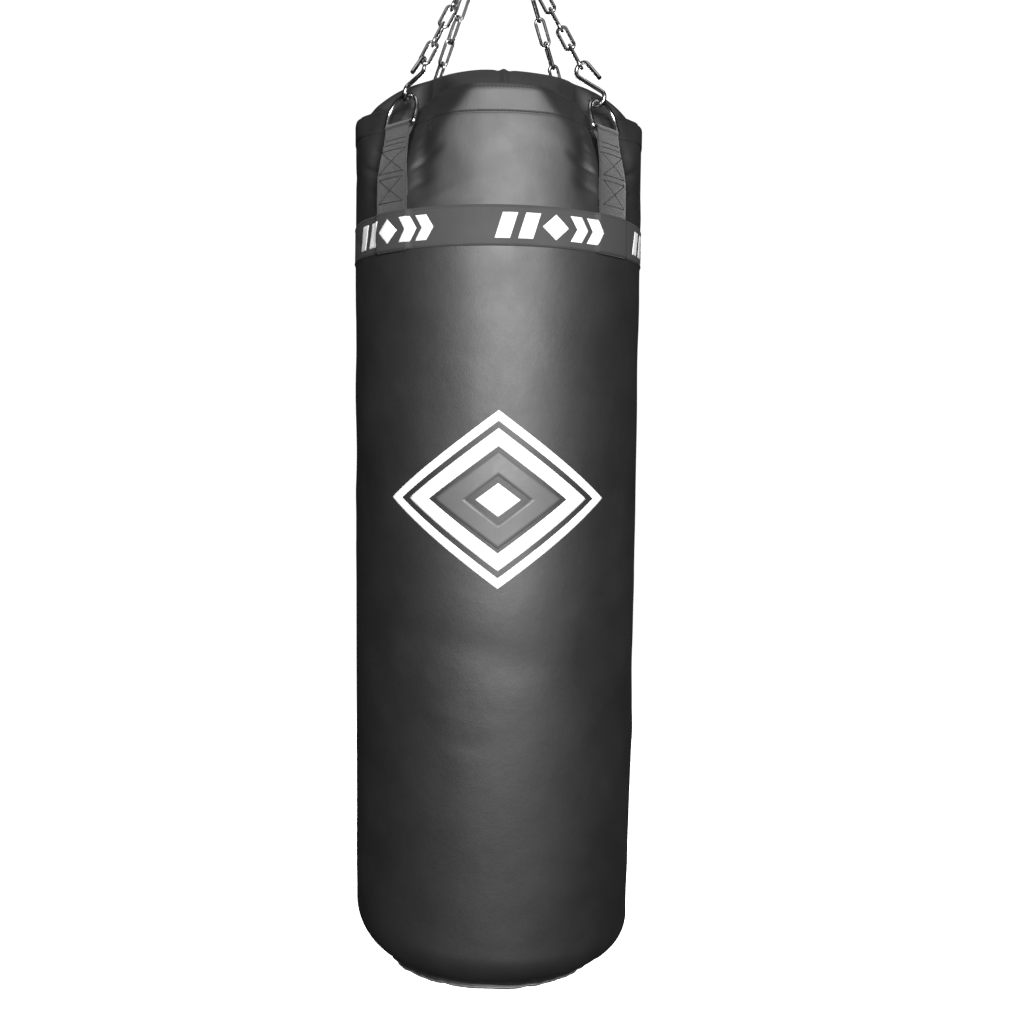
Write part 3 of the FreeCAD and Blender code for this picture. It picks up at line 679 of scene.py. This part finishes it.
def skin_grid():
    """Rings of the skin: up the inner hem, over the rim, down the side and round to the seam."""
    a = AZIMUTHS
    drop = rim_drop(a)
    rings = []
    inner = 2 * VINYL
    for depth in np.linspace(HEM, 2.5 * MM, 9):
        rings.append(polar(a, skin_radius(a, depth) - inner, np.maximum(depth, drop + 2.5 * MM)))
    roll = 2.2 * MM
    for turn in np.linspace(0, 180, 7)[1:-1]:
        out = -roll * math.cos(math.radians(turn)) - roll
        up = roll * math.sin(math.radians(turn))
        rings.append(polar(a, skin_radius(a, 1.5 * MM) + out, drop + 1.8 * MM - up))
    depths = np.concatenate(
        [
            np.linspace(1.5, 24.0, 14),
            np.linspace(25.0, 33.0, 13),
            np.linspace(35.5, 200.0, 67),
            np.linspace(205.0, 925.0, 145),
        ]
    )
    for depth in depths * MM:
        rings.append(polar(a, skin_radius(a, depth), np.maximum(depth, drop + depth * 0.6)))
    start = corner_start(a)
    last = depths[-1] * MM
    for share in np.linspace(0, 1, 12)[1:]:
        depth = last + (start - last) * share
        rings.append(polar(a, skin_radius(a, depth), depth))
    seam_radius, seam_depth = seam_line(a)
    bend = corner_radius(a)
    tucks = puckers(a, *SEAM_GATHERS)
    full = np.arcsin(np.clip((seam_depth - start) / bend, -1, 1))
    for share in np.linspace(0, 1, 26)[1:]:
        angle = full * share
        radius = BAG_RADIUS - bend + bend * np.cos(angle)
        depth = start + bend * np.sin(angle)
        near = smoothstep(0.35, 1.0, share)
        fold = 4.2 * MM * tucks * near + skin_radius(a, start) - BAG_RADIUS
        fade = 1 - 0.6 * smoothstep(0.2, 1, share)
        radius = radius + fold * fade * np.cos(angle) ** 0.5
        depth = depth + 3.4 * MM * tucks * near * np.sin(angle)
        radius = radius + (seam_radius - radius) * smoothstep(0.7, 1.0, share)
        depth = depth + (seam_depth - depth) * smoothstep(0.7, 1.0, share)
        rings.append(polar(a, radius, depth))
    rings.append(polar(a, seam_radius - 1.0 * MM, seam_depth + 0.9 * MM))
    rings.append(polar(a, seam_radius - 2.6 * MM, seam_depth + 0.6 * MM))
    rings.append(polar(a, seam_radius - 3.4 * MM, seam_depth - 1.5 * MM))
    rings.append(polar(a, seam_radius - 3.0 * MM, seam_depth - 6.0 * MM))
    return np.array(rings)


def cloth_field(grid, azimuths):
    """Width and length coordinates of a grid of points round the bag, for weaves."""
    across = np.radians(azimuths) * BAG_RADIUS + 0 * grid[..., 0]
    along = RIM - grid[..., 2]
    return np.stack([across, along], axis=-1)


def build_skin():
    grid = skin_grid()
    obj = loft("bag_skin", grid, weave=cloth_field(grid, AZIMUTHS))
    finish_piece(obj, "bag", ["bag_shell", "rim_hem"], MATERIALS["black_vinyl"])
    return obj


class Surface:
    """Finds places on the finished skin."""

    def __init__(self, obj):
        mesh = obj.data
        self.tree = BVHTree.FromPolygons(
            [v.co.copy() for v in mesh.vertices], [tuple(p.vertices) for p in mesh.polygons]
        )

    def radius(self, azimuth, depth):
        turn = math.radians(azimuth)
        outward = Vector((math.sin(turn), -math.cos(turn), 0))
        start = outward * 0.3 + Vector((0, 0, RIM - depth))
        hit = self.tree.ray_cast(start, -outward)[0]
        return Vector((hit.x, hit.y, 0)).length

    def radii(self, azimuths, depths):
        azimuths, depths = np.broadcast_arrays(azimuths, depths)
        flat = [self.radius(a, d) for a, d in zip(azimuths.ravel(), depths.ravel())]
        return np.array(flat).reshape(azimuths.shape)


# ---- bottom ----
def build_bottom():
    """Sagging panel with gathers along its edge, and the welt in the seam."""
    a = AZIMUTHS
    seam_radius, seam_depth = seam_line(a)
    tucks = puckers(a, *SEAM_GATHERS)
    rings = [polar(a, seam_radius - 2.8 * MM, seam_depth - 4.0 * MM)]
    for share in np.concatenate([np.linspace(0.998, 0.90, 26), np.linspace(0.88, 0.03, 24)]):
        sag = BOTTOM_SAG * (0.88 * (1 - share**60) + 0.12 * (1 - share**2))
        fold = 1.4 * MM * tucks * smoothstep(0.6, 0.98, share) * (1 - smoothstep(0.93, 0.99, share))
        soft = 0.9 * MM * np.sin(np.radians(a * 3 + 40)) * share * (1 - share) * 4
        depth = seam_depth * share + SEAM_DEPTH * (1 - share) + sag + fold + soft
        rings.append(polar(a, (seam_radius - 2.4 * MM) * share, depth))
    grid = np.array(rings)
    panel = loft("bottom_skin", grid, cap_last=True, weave=cloth_field(grid, a))
    finish_piece(panel, "bag", ["bottom_panel"], MATERIALS["black_vinyl"])
    centre = polar(a, seam_radius - 0.6 * MM, seam_depth + 1.3 * MM)
    outward = polar(a, 1.0, RIM)
    rings = []
    for turn in np.radians(np.linspace(0, 360, 11)[:-1]):
        pinch = 1 + 0.12 * np.sin(np.radians(a * 60))
        rings.append(centre + 1.5 * MM * (outward * math.cos(turn) * pinch[:, None]))
        rings[-1][:, 2] += 1.5 * MM * math.sin(turn) * pinch
    rings.append(rings[0])
    welt = loft("bottom_piping", np.array(rings))
    # The piping takes the lighter vinyl copy: painted highlight along the bottom seam.
    finish_piece(welt, "bag", ["bottom_welt"], MATERIALS["welt_vinyl"])


# ---- lid and zip ----
def lid_edge(azimuth):
    return skin_radius(azimuth, 1.5 * MM) - 2 * VINYL - 0.8 * MM


def lid_point(azimuth, share):
    """Point of the lid: a share up to 1 runs over the dome, above 1 down inside the hem."""
    edge = lid_edge(azimuth)
    limit = BAG_RADIUS - (5.0 + 6.0 * np.abs(np.sin(np.radians(azimuth))) ** 3) * MM - 5 * MM
    rho = limit * np.minimum(share, 1.0)
    fall = np.clip((rho - LID_FLAT) / (limit - LID_FLAT), 0, 1)
    height = (LID_RISE - LID_SETTLE) * (1 - fall**LID_SHOULDER)
    x = rho * np.sin(np.radians(azimuth))
    y = -rho * np.cos(np.radians(azimuth))
    seam = smoothstep(0.5 * ZIP_LENGTH, 0.5 * ZIP_LENGTH + 0.012, np.abs(y))
    seam = seam * (1 + 0.8 * smoothstep(0.75, 0.95, fall))  # the lid's seam stands out most near the rim
    ridge = 1.6 * MM * bump(x, 0, 3.0 * MM)
    groove = 0.9 * MM * bump(np.abs(x), 6.5 * MM, 3.0 * MM)
    height = height + ridge * seam - groove * seam
    wave = 0.8 * MM * np.sin(np.radians(azimuth * 6)) * fall
    height = height - (SMALL_FOLDS.at(azimuth, rho) + wave) * fall
    away = np.abs(corner_offset(azimuth))
    height = height - 3.0 * MM * bump(away, 0, 11.0) * smoothstep(0.35, 0.9, fall)
    depth = -height
    wall = dent_radius(azimuth, depth, *LID_WALL)
    pocket = dent_radius(azimuth, depth, *LID_POCKET)
    rho = soft_min(rho, wall, 3.0 * MM)
    rho = soft_min(rho, pocket, 2.0 * MM)
    below = np.maximum(share - 1.0, 0)
    depth = depth + below
    inside = skin_radius(azimuth, np.maximum(depth, 2.0 * MM)) - 2 * VINYL - 0.8 * MM
    rho = np.where(depth > -2.0 * MM, np.minimum(rho + 3 * below, np.maximum(inside, edge)), rho)
    return polar(azimuth, rho, depth)


def build_lid():
    a = AZIMUTHS
    shares = np.concatenate([np.linspace(0.02, 1.0, 74), 1 + np.linspace(1.5, 24.0, 14) * MM])
    grid = np.array([lid_point(a, s + 0 * a) for s in shares])
    lid = loft("lid_skin", grid, cap_first=True, weave=cloth_field(grid, a))
    # The lid takes the darker vinyl copy: painted shade over the lid.
    finish_piece(lid, "bag", ["top_lid"], MATERIALS["lid_vinyl"])
    return lid


def height_on(tree, x, y):
    hit = tree.ray_cast(Vector((x, y, RIM + 0.2)), Vector((0, 0, -1)))[0]
    return hit.z


def build_zip(lid):
    """Zip tape sewn on the lid, and the coil: two rows of hooked loops side by side."""
    tree = Surface(lid).tree
    low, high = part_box("lid_zip_tape")
    xs = np.linspace(low.x, high.x, 15)
    ys = np.linspace(low.y, high.y, 60)
    lift = np.array([[0.9 * MM + 0.5 * MM * bump(x, 0, 5 * MM) for x in xs] for _ in ys])
    grid = np.array(
        [[(x, y, height_on(tree, x, y) + lift[j, i]) for i, x in enumerate(xs)] for j, y in enumerate(ys)]
    )
    weave = np.stack(np.meshgrid(xs, ys), axis=-1)
    tape = loft("zip_tape", grid, closed=False, weave=weave)
    thicken(tape, 0.7 * MM, -1.0)
    finish_piece(tape, "bag", ["lid_zip_tape"], MATERIALS["zip_tape"])
    thread = Thread(0.35 * MM)
    up = (0, 0, 1)
    for x in (low.x + 2.5 * MM, high.x - 2.5 * MM):
        points = [(x, y, height_on(tree, x, y) + 1.1 * MM) for y in np.linspace(low.y, high.y, 60)]
        thread.row(points, [up] * len(points), 3.2 * MM)
    finish_piece(thread.build("zip_stitching"), "bag", [], GREY_THREAD)
    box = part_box("lid_zip_coil")
    half = (box[1].x - box[0].x) / 2
    tall = box[1].z - box[0].z
    coil = Thread()
    pitch = 1.5 * MM
    count = int(ZIP_LENGTH / pitch)
    for i in range(count):
        y = box[0].y + pitch * (i + 0.5)
        ground = height_on(tree, 0, y) + 1.55 * MM
        for side in (-1, 1):
            points = []
            shift = side * pitch / 4
            for t in np.linspace(0, 1, 9):
                turn = math.pi * (1.1 * t - 0.05)
                x = side * (half * 0.98 - 0.5 * MM - (1 - math.cos(turn)) / 2 * (half + 0.2 * MM))
                rise = tall * 0.55 * math.sin(max(turn, 0))
                points.append((x, y + shift + 0.3 * MM * side * t, ground + rise))
            coil.tube(points, 0.38 * MM)
    coil = coil.build("zip_coil_teeth")
    finish_piece(coil, "bag", ["lid_zip_coil"], MATERIALS["zip_coil"])


# ---- straps ----
def strap_path():
    """Radius and depth along a strap: up its outside, round the D-ring's bar, down behind."""
    layer = WEBBING + 0.1 * MM
    lean = (STRAP_RADIUS - BAR_RADIUS - BAR_LOOP * 0.6) / (LEAN_DEPTH - BAR_DEPTH)

    def outer(depth):
        return STRAP_RADIUS - lean * 6 * MM * np.logaddexp(0, (LEAN_DEPTH - depth) / (6 * MM))

    points = [(outer(d), d) for d in np.linspace(STRAP_END, BAR_DEPTH + 2 * MM, 52)]
    for turn in np.radians(np.linspace(0, 180, 15)):
        rise = BAR_LOOP * np.sin(turn)
        points.append((BAR_RADIUS + BAR_LOOP * math.cos(turn), BAR_DEPTH - rise))
    points += [(outer(d) - layer, d) for d in np.linspace(BAR_DEPTH + 14 * MM, STRAP_END - 60 * MM, 24)]
    return np.array(points)


def strap_width(depth):
    return STRAP_NECK + (STRAP_WIDTH - STRAP_NECK) * smoothstep(45 * MM, 108 * MM, depth)


def strap_point(azimuth, sideways, radius, depth):
    """On the bag a strap follows the round side; at the bar it is straight across."""
    flat = 1 - smoothstep(BAR_DEPTH, BAR_DEPTH + 22 * MM, depth)
    turn = math.radians(azimuth)
    out = np.array([math.sin(turn), -math.cos(turn), 0])
    across = np.array([math.cos(turn), math.sin(turn), 0])
    angle = sideways / radius
    round_point = out * radius * np.cos(angle) + across * radius * np.sin(angle)
    straight = out * radius + across * sideways
    point = round_point * (1 - flat) + straight * flat
    point[2] = RIM - depth
    return point


def build_strap(name, azimuth):
    path = strap_path()
    across = np.linspace(-1, 1, 15)
    run = np.concatenate([[0], np.cumsum(np.linalg.norm(np.diff(path, axis=0), axis=1))])
    rows, weave = [], []
    for (radius, depth), along in zip(path, run):
        half = strap_width(depth) / 2
        edge = 0.25 * MM * np.sin(along * 900)
        row = []
        for s in across:
            crown = 0.25 * MM * s**4
            row.append(strap_point(azimuth, s * (half + edge * abs(s)), radius - crown, depth))
        rows.append(row)
        weave.append([(s * half, along) for s in across])
    strap = loft("webbing_" + name, np.array(rows), closed=False, weave=np.array(weave))
    thicken(strap, WEBBING, 0.0)
    soften = strap.modifiers.new("round_edges", "BEVEL")
    soften.width = 0.3 * MM
    soften.segments = 2
    soften.limit_method = "ANGLE"
    finish_piece(strap, "bag", ["strap_" + name], MATERIALS["webbing"])


def build_strap_stitching():
    """Bar tacks and crossed boxes that hold each strap's folded end."""
    thread = Thread(0.5 * MM)
    lift = WEBBING / 2 + 0.25 * MM
    half = STRAP_WIDTH / 2 - 5 * MM
    near = STRAP_NECK / 2 - 3 * MM
    bar = BAR_DEPTH
    lines = [
        ((-near, 16.0), (near, 16.0)),
        ((-near, 21.5), (near, 21.5)),
        ((-half, 28.0), (half, 28.0)),
        ((-half, 28.0), (half, 54.0)),
        ((half, 28.0), (-half, 54.0)),
        ((-half, 54.0), (half, 54.0)),
        ((-half, 60.0), (half, 60.0)),
        ((-half, 60.0), (half, 87.0)),
        ((half, 60.0), (-half, 87.0)),
        ((-half, 87.0), (half, 87.0)),
    ]
    outside = strap_path()[:52]
    for azimuth in CORNERS.values():
        for (s0, d0), (s1, d1) in lines:
            share = np.linspace(0, 1, 16)
            points, normals = [], []
            for t in share:
                side, depth = s0 + (s1 - s0) * t, bar + (d0 + (d1 - d0) * t) * MM
                radius = np.interp(-depth, -outside[:, 1], outside[:, 0])
                points.append(strap_point(azimuth, side, radius + lift, depth))
                turn = math.radians(azimuth) + side / STRAP_RADIUS
                normals.append((math.sin(turn), -math.cos(turn), 0))
            thread.row(points, normals, 3.4 * MM, 0.22)
    finish_piece(thread.build("strap_stitching"), "bag", [], BLACK_THREAD)


# ---- band ----
def band_radius(skin, azimuth, depth):
    """Outside of the band: on the skin, and up over each strap."""
    sideways = np.abs(np.radians(corner_offset(azimuth))) * BAG_RADIUS
    over = 1 - smoothstep(STRAP_WIDTH / 2 + 0.6 * MM, STRAP_WIDTH / 2 + 4.5 * MM, sideways)
    on_strap = STRAP_RADIUS + WEBBING / 2 + 0.95 * MM
    on_skin = skin + 0.75 * MM
    return np.maximum(on_skin, on_skin * (1 - over) + on_strap * over)


def build_band(surface):
    a = AZIMUTHS
    rings = []
    depths = np.linspace(BAND_TOP, BAND_BOTTOM, 20)
    for depth in depths:
        edge = 0.3 * MM * (bump(depth, BAND_TOP, 1.2 * MM) + bump(depth, BAND_BOTTOM, 1.2 * MM))
        rings.append(polar(a, band_radius(surface.radii(a, depth), a, depth) - edge, depth))
    grid = np.array(rings)
    band = loft("wrapped_band", grid, weave=cloth_field(grid, a))
    thicken(band, 0.6 * MM, -1.0)
    finish_piece(band, "bag", ["printed_band"], MATERIALS["band_print"])
    return band


def inked(name, outline_sets, place, material, lift):
    """Printed shapes: each is a grid of (sideways, down) points, laid on a surface."""
    made = []
    for grid in outline_sets:
        points = np.array([[place(s, d, lift) for s, d in row] for row in grid])
        made.append(loft(name, points, closed=False))
    obj = join(name, made) if len(made) > 1 else made[0]
    thicken(obj, 0.25 * MM, -1.0)
    return finish_piece(obj, "bag", [], material)


def quad_grid(corners, columns, rows):
    """Grid of points inside four corners, given clockwise from the top left."""
    tl, tr, br, bl = (np.array(c, float) for c in corners)
    grid = []
    for v in np.linspace(0, 1, rows):
        left, right = tl + (bl - tl) * v, tr + (br - tr) * v
        grid.append([left + (right - left) * u for u in np.linspace(0, 1, columns)])
    return np.array(grid)


def band_mark_shapes():
    """A generic mark: two slanted bars, a lozenge and a pair of chevrons."""
    half_tall = 14.0
    slant = 9.0
    shapes = []
    for left in (-66.0, -40.0):
        right = left + 17.0
        top = [(left + slant, -half_tall), (right + slant, -half_tall)]
        shapes.append(quad_grid(top + [(right, half_tall), (left, half_tall)], 9, 12))
    shapes.append(quad_grid([(4.0, -half_tall), (20.0, 0), (4.0, half_tall), (-12.0, 0)], 12, 12))
    for left in (22.0, 44.0):
        width = 15.0
        tip = [(left + width + slant, 0), (left + slant, 0)]
        shapes.append(quad_grid([(left, -half_tall), (left + width, -half_tall)] + tip, 9, 8))
        shapes.append(quad_grid(tip[::-1] + [(left + width, half_tall), (left, half_tall)], 9, 8))
    return [s * MM for s in shapes]


def build_band_marks(band):
    surface = Surface(band)
    middle = (BAND_TOP + BAND_BOTTOM) / 2
    shapes = band_mark_shapes()
    lift = 0.3 * MM

    def place(centre, sideways, down):
        azimuth = centre + math.degrees(sideways / STRAP_RADIUS)
        return polar(azimuth, surface.radius(azimuth, middle + down) + lift, middle + down)

    made = []
    for centre in BAND_MARK_AZIMUTHS:
        for grid in shapes:
            cells = np.array([[place(centre, s, d) for s, d in row] for row in grid])
            made.append(loft("band_marks", cells, closed=False))
    marks = join("band_marks", made)
    thicken(marks, 0.25 * MM, -1.0)
    finish_piece(marks, "bag", [], WHITE_INK)


# ---- emblem ----
def diamond_ring(half_wide, half_tall, inner, steps=30):
    """Four strips that make a diamond's outline, from the outside in to a share of its size."""
    tips = [(0, -half_tall), (half_wide, 0), (0, half_tall), (-half_wide, 0)]
    strips = []
    for first, second in zip(tips, tips[1:] + tips[:1]):
        first, second = np.array(first), np.array(second)
        rows = []
        for share in np.linspace(1, inner, 7):
            rows.append([(first + (second - first) * t) * share for t in np.linspace(0, 1, steps)])
        strips.append(np.array(rows))
    return strips


def build_emblem(surface):
    """Nested diamonds in white and grey, printed on the front."""

    def place(sideways, down, lift):
        azimuth = EMBLEM_AZIMUTH + math.degrees(sideways / BAG_RADIUS)
        depth = EMBLEM_DEPTH + down
        return polar(azimuth, surface.radius(azimuth, depth) + lift, depth)

    wide, tall = EMBLEM_HALF_WIDE, EMBLEM_HALF_TALL
    white = diamond_ring(wide, tall, 0.88)
    white += diamond_ring(wide * 0.80, tall * 0.80, 0.75)
    white += diamond_ring(wide * 0.19, tall * 0.19, 0.02)
    grey_shapes = diamond_ring(wide * 0.55, tall * 0.55, 0.50)
    inked("emblem_white", white, place, WHITE_INK, 0.4 * MM)
    inked("emblem_grey", grey_shapes, place, GREY_INK, 0.4 * MM)


# ---- seams ----
def build_hem_stitching(surface):
    thread = Thread(0.4 * MM)
    fine = np.linspace(-180, 180, 721)
    for depth, lift in ((HEM - 1.0 * MM, 0.1 * MM), (3.8 * MM, 0.1 * MM)):
        drop = rim_drop(fine)
        depths = np.maximum(depth, drop + 4.2 * MM) if depth < 10 * MM else depth + 0.25 * drop
        points = polar(fine, surface.radii(fine, depths) + lift, depths)
        normals = polar(fine, 1.0, RIM)
        thread.row(points, normals, 4.2 * MM, 0.35)
    finish_piece(thread.build("hem_stitching"), "bag", [], BLACK_THREAD)


def build_back_strip(surface):
    """Vinyl strip over the shell's closing seam, sewn down along both edges."""
    half = 15.0 * MM
    top, bottom = BAND_BOTTOM + 1.0 * MM, SEAM_DEPTH - 30 * MM
    offsets = np.linspace(-half, half, 11)
    azimuths = 180 + np.degrees(offsets / BAG_RADIUS)
    depths = np.linspace(top, bottom, 150)
    grid = []
    for depth in depths:
        edge = 0.35 * MM * (np.abs(offsets) / half) ** 6
        wave = 0.2 * MM * math.sin(depth * 140)
        grid.append(polar(azimuths, surface.radii(azimuths, depth) + 1.2 * MM - edge + wave * 0.5, depth))
    grid = np.array(grid)
    strip = loft("back_strip", grid, closed=False, weave=cloth_field(grid, azimuths))
    thicken(strip, 1.0 * MM, -1.0)
    finish_piece(strip, "bag", ["back_seam_strip"], MATERIALS["black_vinyl"])
    thread = Thread(0.4 * MM)
    for offset in (-half + 3 * MM, half - 3 * MM):
        azimuth = 180 + math.degrees(offset / BAG_RADIUS)
        lines = np.linspace(top, bottom, 240)
        radius = surface.radii(np.full(240, azimuth), lines) + 1.35 * MM
        points = polar(azimuth, radius, lines)
        thread.row(points, polar(np.full(240, azimuth), 1.0, RIM), 4.2 * MM, 0.3)
    finish_piece(thread.build("back_stitching"), "bag", [], BLACK_THREAD)


def build_band_stitching(band):
    surface = Surface(band)
    thread = Thread(0.35 * MM)
    fine = np.linspace(-180, 180, 721)
    for depth in (BAND_TOP + 2.2 * MM, BAND_BOTTOM - 2.2 * MM):
        points = polar(fine, surface.radii(fine, depth) + 0.1 * MM, depth)
        thread.row(points, polar(fine, 1.0, RIM), 3.6 * MM, 0.35)
    finish_piece(thread.build("band_stitching"), "bag", [], GREY_THREAD)


# ---- filling ----
# Depth and radius round the base cushion, in millimetres.
PAD_PROFILE = (
    (984, 120), (984, 150), (988, 160), (1000, 157), (1012, 148), (1022, 138), (1028, 126), (1031, 90),
)


def build_filling():
    """Foam layer, packed fibre and base cushion, just inside the skin."""
    a = AZIMUTHS[::4]
    gap = VINYL + 1.0 * MM
    foam = 15.0 * MM
    top, bottom = 100.0 * MM, 980.0 * MM
    depths = np.linspace(top, bottom, 60)
    outer = [polar(a, skin_radius(a, d) - gap, d) for d in depths]
    inner = [polar(a, skin_radius(a, d) - gap - foam, d) for d in depths[::-1]]
    layer = loft("foam_layer", np.array(outer + inner + outer[:1]))
    finish_piece(layer, "bag", ["foam_liner"], MATERIALS["liner_foam"])
    rings = []
    for share in np.linspace(0.04, 0.72, 18):
        ring = lid_point(a, share + 0 * a)
        ring[:, 2] -= FIBRE_BELOW_LID
        rings.append(ring)
    for depth in np.linspace(34, 96, 6) * MM:
        inside = np.minimum(skin_radius(a, depth), dent_radius(a, 0 * depth, *FIBRE_DENT))
        rings.append(polar(a, inside - 3 * gap, depth))
    for depth in np.linspace(102 * MM, bottom, 48):
        rings.append(polar(a, skin_radius(a, depth) - gap - foam - 1.0 * MM, depth))
    fibre = loft("packed_fibre", np.array(rings), cap_first=True, cap_last=True)
    finish_piece(fibre, "bag", ["fibre_filling"], MATERIALS["textile_fibre"])
    rings = []
    for depth, radius in PAD_PROFILE:
        rings.append(polar(a, (radius - 3) * MM + 0 * a, depth * MM))
    pad = loft("base_cushion", np.array(rings), cap_first=True, cap_last=True)
    finish_piece(pad, "bag", ["base_pad"], MATERIALS["liner_foam"])


def build_core():
    """Cloth sack of sand, tied at its neck."""
    a = AZIMUTHS[::8]
    low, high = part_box("sand_core_bag")
    radius = high.x
    top, bottom = RIM - high.z, RIM - low.z
    rings = []
    for t in np.linspace(0, 1, 60):
        depth = top + (bottom - top) * t
        ends = min(1.0, math.sqrt(max(0.0, 1 - ((0.5 - t) / 0.5) ** 14)) + 0.05)
        lumps = 0.5 * MM * np.sin(np.radians(a * 5) + 30 * t) * np.sin(20 * t)
        rings.append(polar(a, (radius - 0.6 * MM) * ends + lumps * ends, depth))
    sack = loft("core_sack", np.array(rings), cap_first=True, cap_last=True)
    finish_piece(sack, "bag", ["sand_core_bag", "sand_core"], MATERIALS["core_cloth"])


# ---- floor, light and camera ----
def build_stage():
    size, steps = 16.0, 24
    floor_z = cad_box[0].z - 0.42
    spots = np.linspace(-size, size, steps)
    grid = np.array([[(x, y, floor_z) for x in spots] for y in spots])
    floor = loft("floor", grid, closed=False)
    n = Nodes("pale_floor")
    tone = n.ramp(n.noise(2.0), [(0.3, (0.93, 0.93, 0.93)), (0.7, (0.96, 0.96, 0.96))])
    n.to("Base Color", tone)
    n.to("Roughness", n.range(n.noise(6.0), 0.8, 0.9))
    n.set(Emission_Color=(1, 1, 1, 1), Emission_Strength=1.0)
    floor.data.materials.append(n.material)
    floor.visible_diffuse = False
    floor.visible_glossy = False
    floor.visible_shadow = False


def add_light(name, place, target, size, power):
    light = bpy.data.lights.new(name, "AREA")
    light.shape = "RECTANGLE"
    light.size, light.size_y = size
    light.energy = power
    obj = bpy.data.objects.new(name, light)
    obj.location = place
    way = Vector(target) - Vector(place)
    obj.rotation_euler = way.to_track_quat("-Z", "Y").to_euler()
    bpy.context.scene.collection.objects.link(obj)
    return obj


def build_light():
    middle = Vector((0, 0, RIM - 0.45))
    add_light("key", (0.14, -2.1, RIM + 0.16), middle, (1.35, 1.2), 100.0)
    add_light("top", (0.0, -0.3, RIM + 1.9), middle, (1.2, 1.2), 5.0)
    add_light("back", (0.25, 2.3, RIM + 0.25), middle, (0.8, 1.2), 85.0)
    world = bpy.data.worlds.new("studio")
    bpy.context.scene.world = world
    world.use_nodes = True
    tree = world.node_tree
    tree.nodes.clear()
    path = tree.nodes.new("ShaderNodeLightPath")
    white, dim = tree.nodes.new("ShaderNodeBackground"), tree.nodes.new("ShaderNodeBackground")
    white.inputs["Color"].default_value = (1, 1, 1, 1)
    white.inputs["Strength"].default_value = 1.05
    dim.inputs["Color"].default_value = (1, 1, 1, 1)
    dim.inputs["Strength"].default_value = 0.007
    mix = tree.nodes.new("ShaderNodeMixShader")
    out = tree.nodes.new("ShaderNodeOutputWorld")
    tree.links.new(path.outputs["Is Camera Ray"], mix.inputs["Fac"])
    tree.links.new(dim.outputs[0], mix.inputs[1])
    tree.links.new(white.outputs[0], mix.inputs[2])
    tree.links.new(mix.outputs[0], out.inputs["Surface"])
    bpy.context.scene.view_settings.view_transform = "Standard"


def build_camera():
    """A little below the rim, looking slightly down; the bag is turned 3.5 degrees to it."""
    data = bpy.data.cameras.new("camera")
    data.sensor_width = 36.0
    data.lens = LENS
    data.clip_end = 50.0
    camera = bpy.data.objects.new("camera", data)
    rim = Matrix.Translation((0, 0, RIM))
    turn = Matrix.Rotation(math.radians(CAMERA_TURN), 4, "Z") @ Matrix.Rotation(CAMERA_LEAN, 4, "Y")
    stand = Matrix.Translation(CAMERA_PLACE)
    look = Matrix.Rotation(CAMERA_ROLL, 4, "Z") @ Matrix.Rotation(math.radians(90) - CAMERA_PITCH, 4, "X")
    camera.matrix_world = rim @ turn @ stand @ look
    bpy.context.scene.collection.objects.link(camera)
    bpy.context.scene.camera = camera


build_camera()
dress_cad_nodes()
skin = build_skin()
surface = Surface(skin)
build_bottom()
lid = build_lid()
build_zip(lid)
for name, azimuth in CORNERS.items():
    build_strap(name, azimuth)
build_strap_stitching()
band = build_band(surface)
build_band_stitching(band)
build_band_marks(band)
build_emblem(surface)
build_hem_stitching(surface)
build_back_strip(surface)
build_filling()
build_core()
build_stage()
build_light()
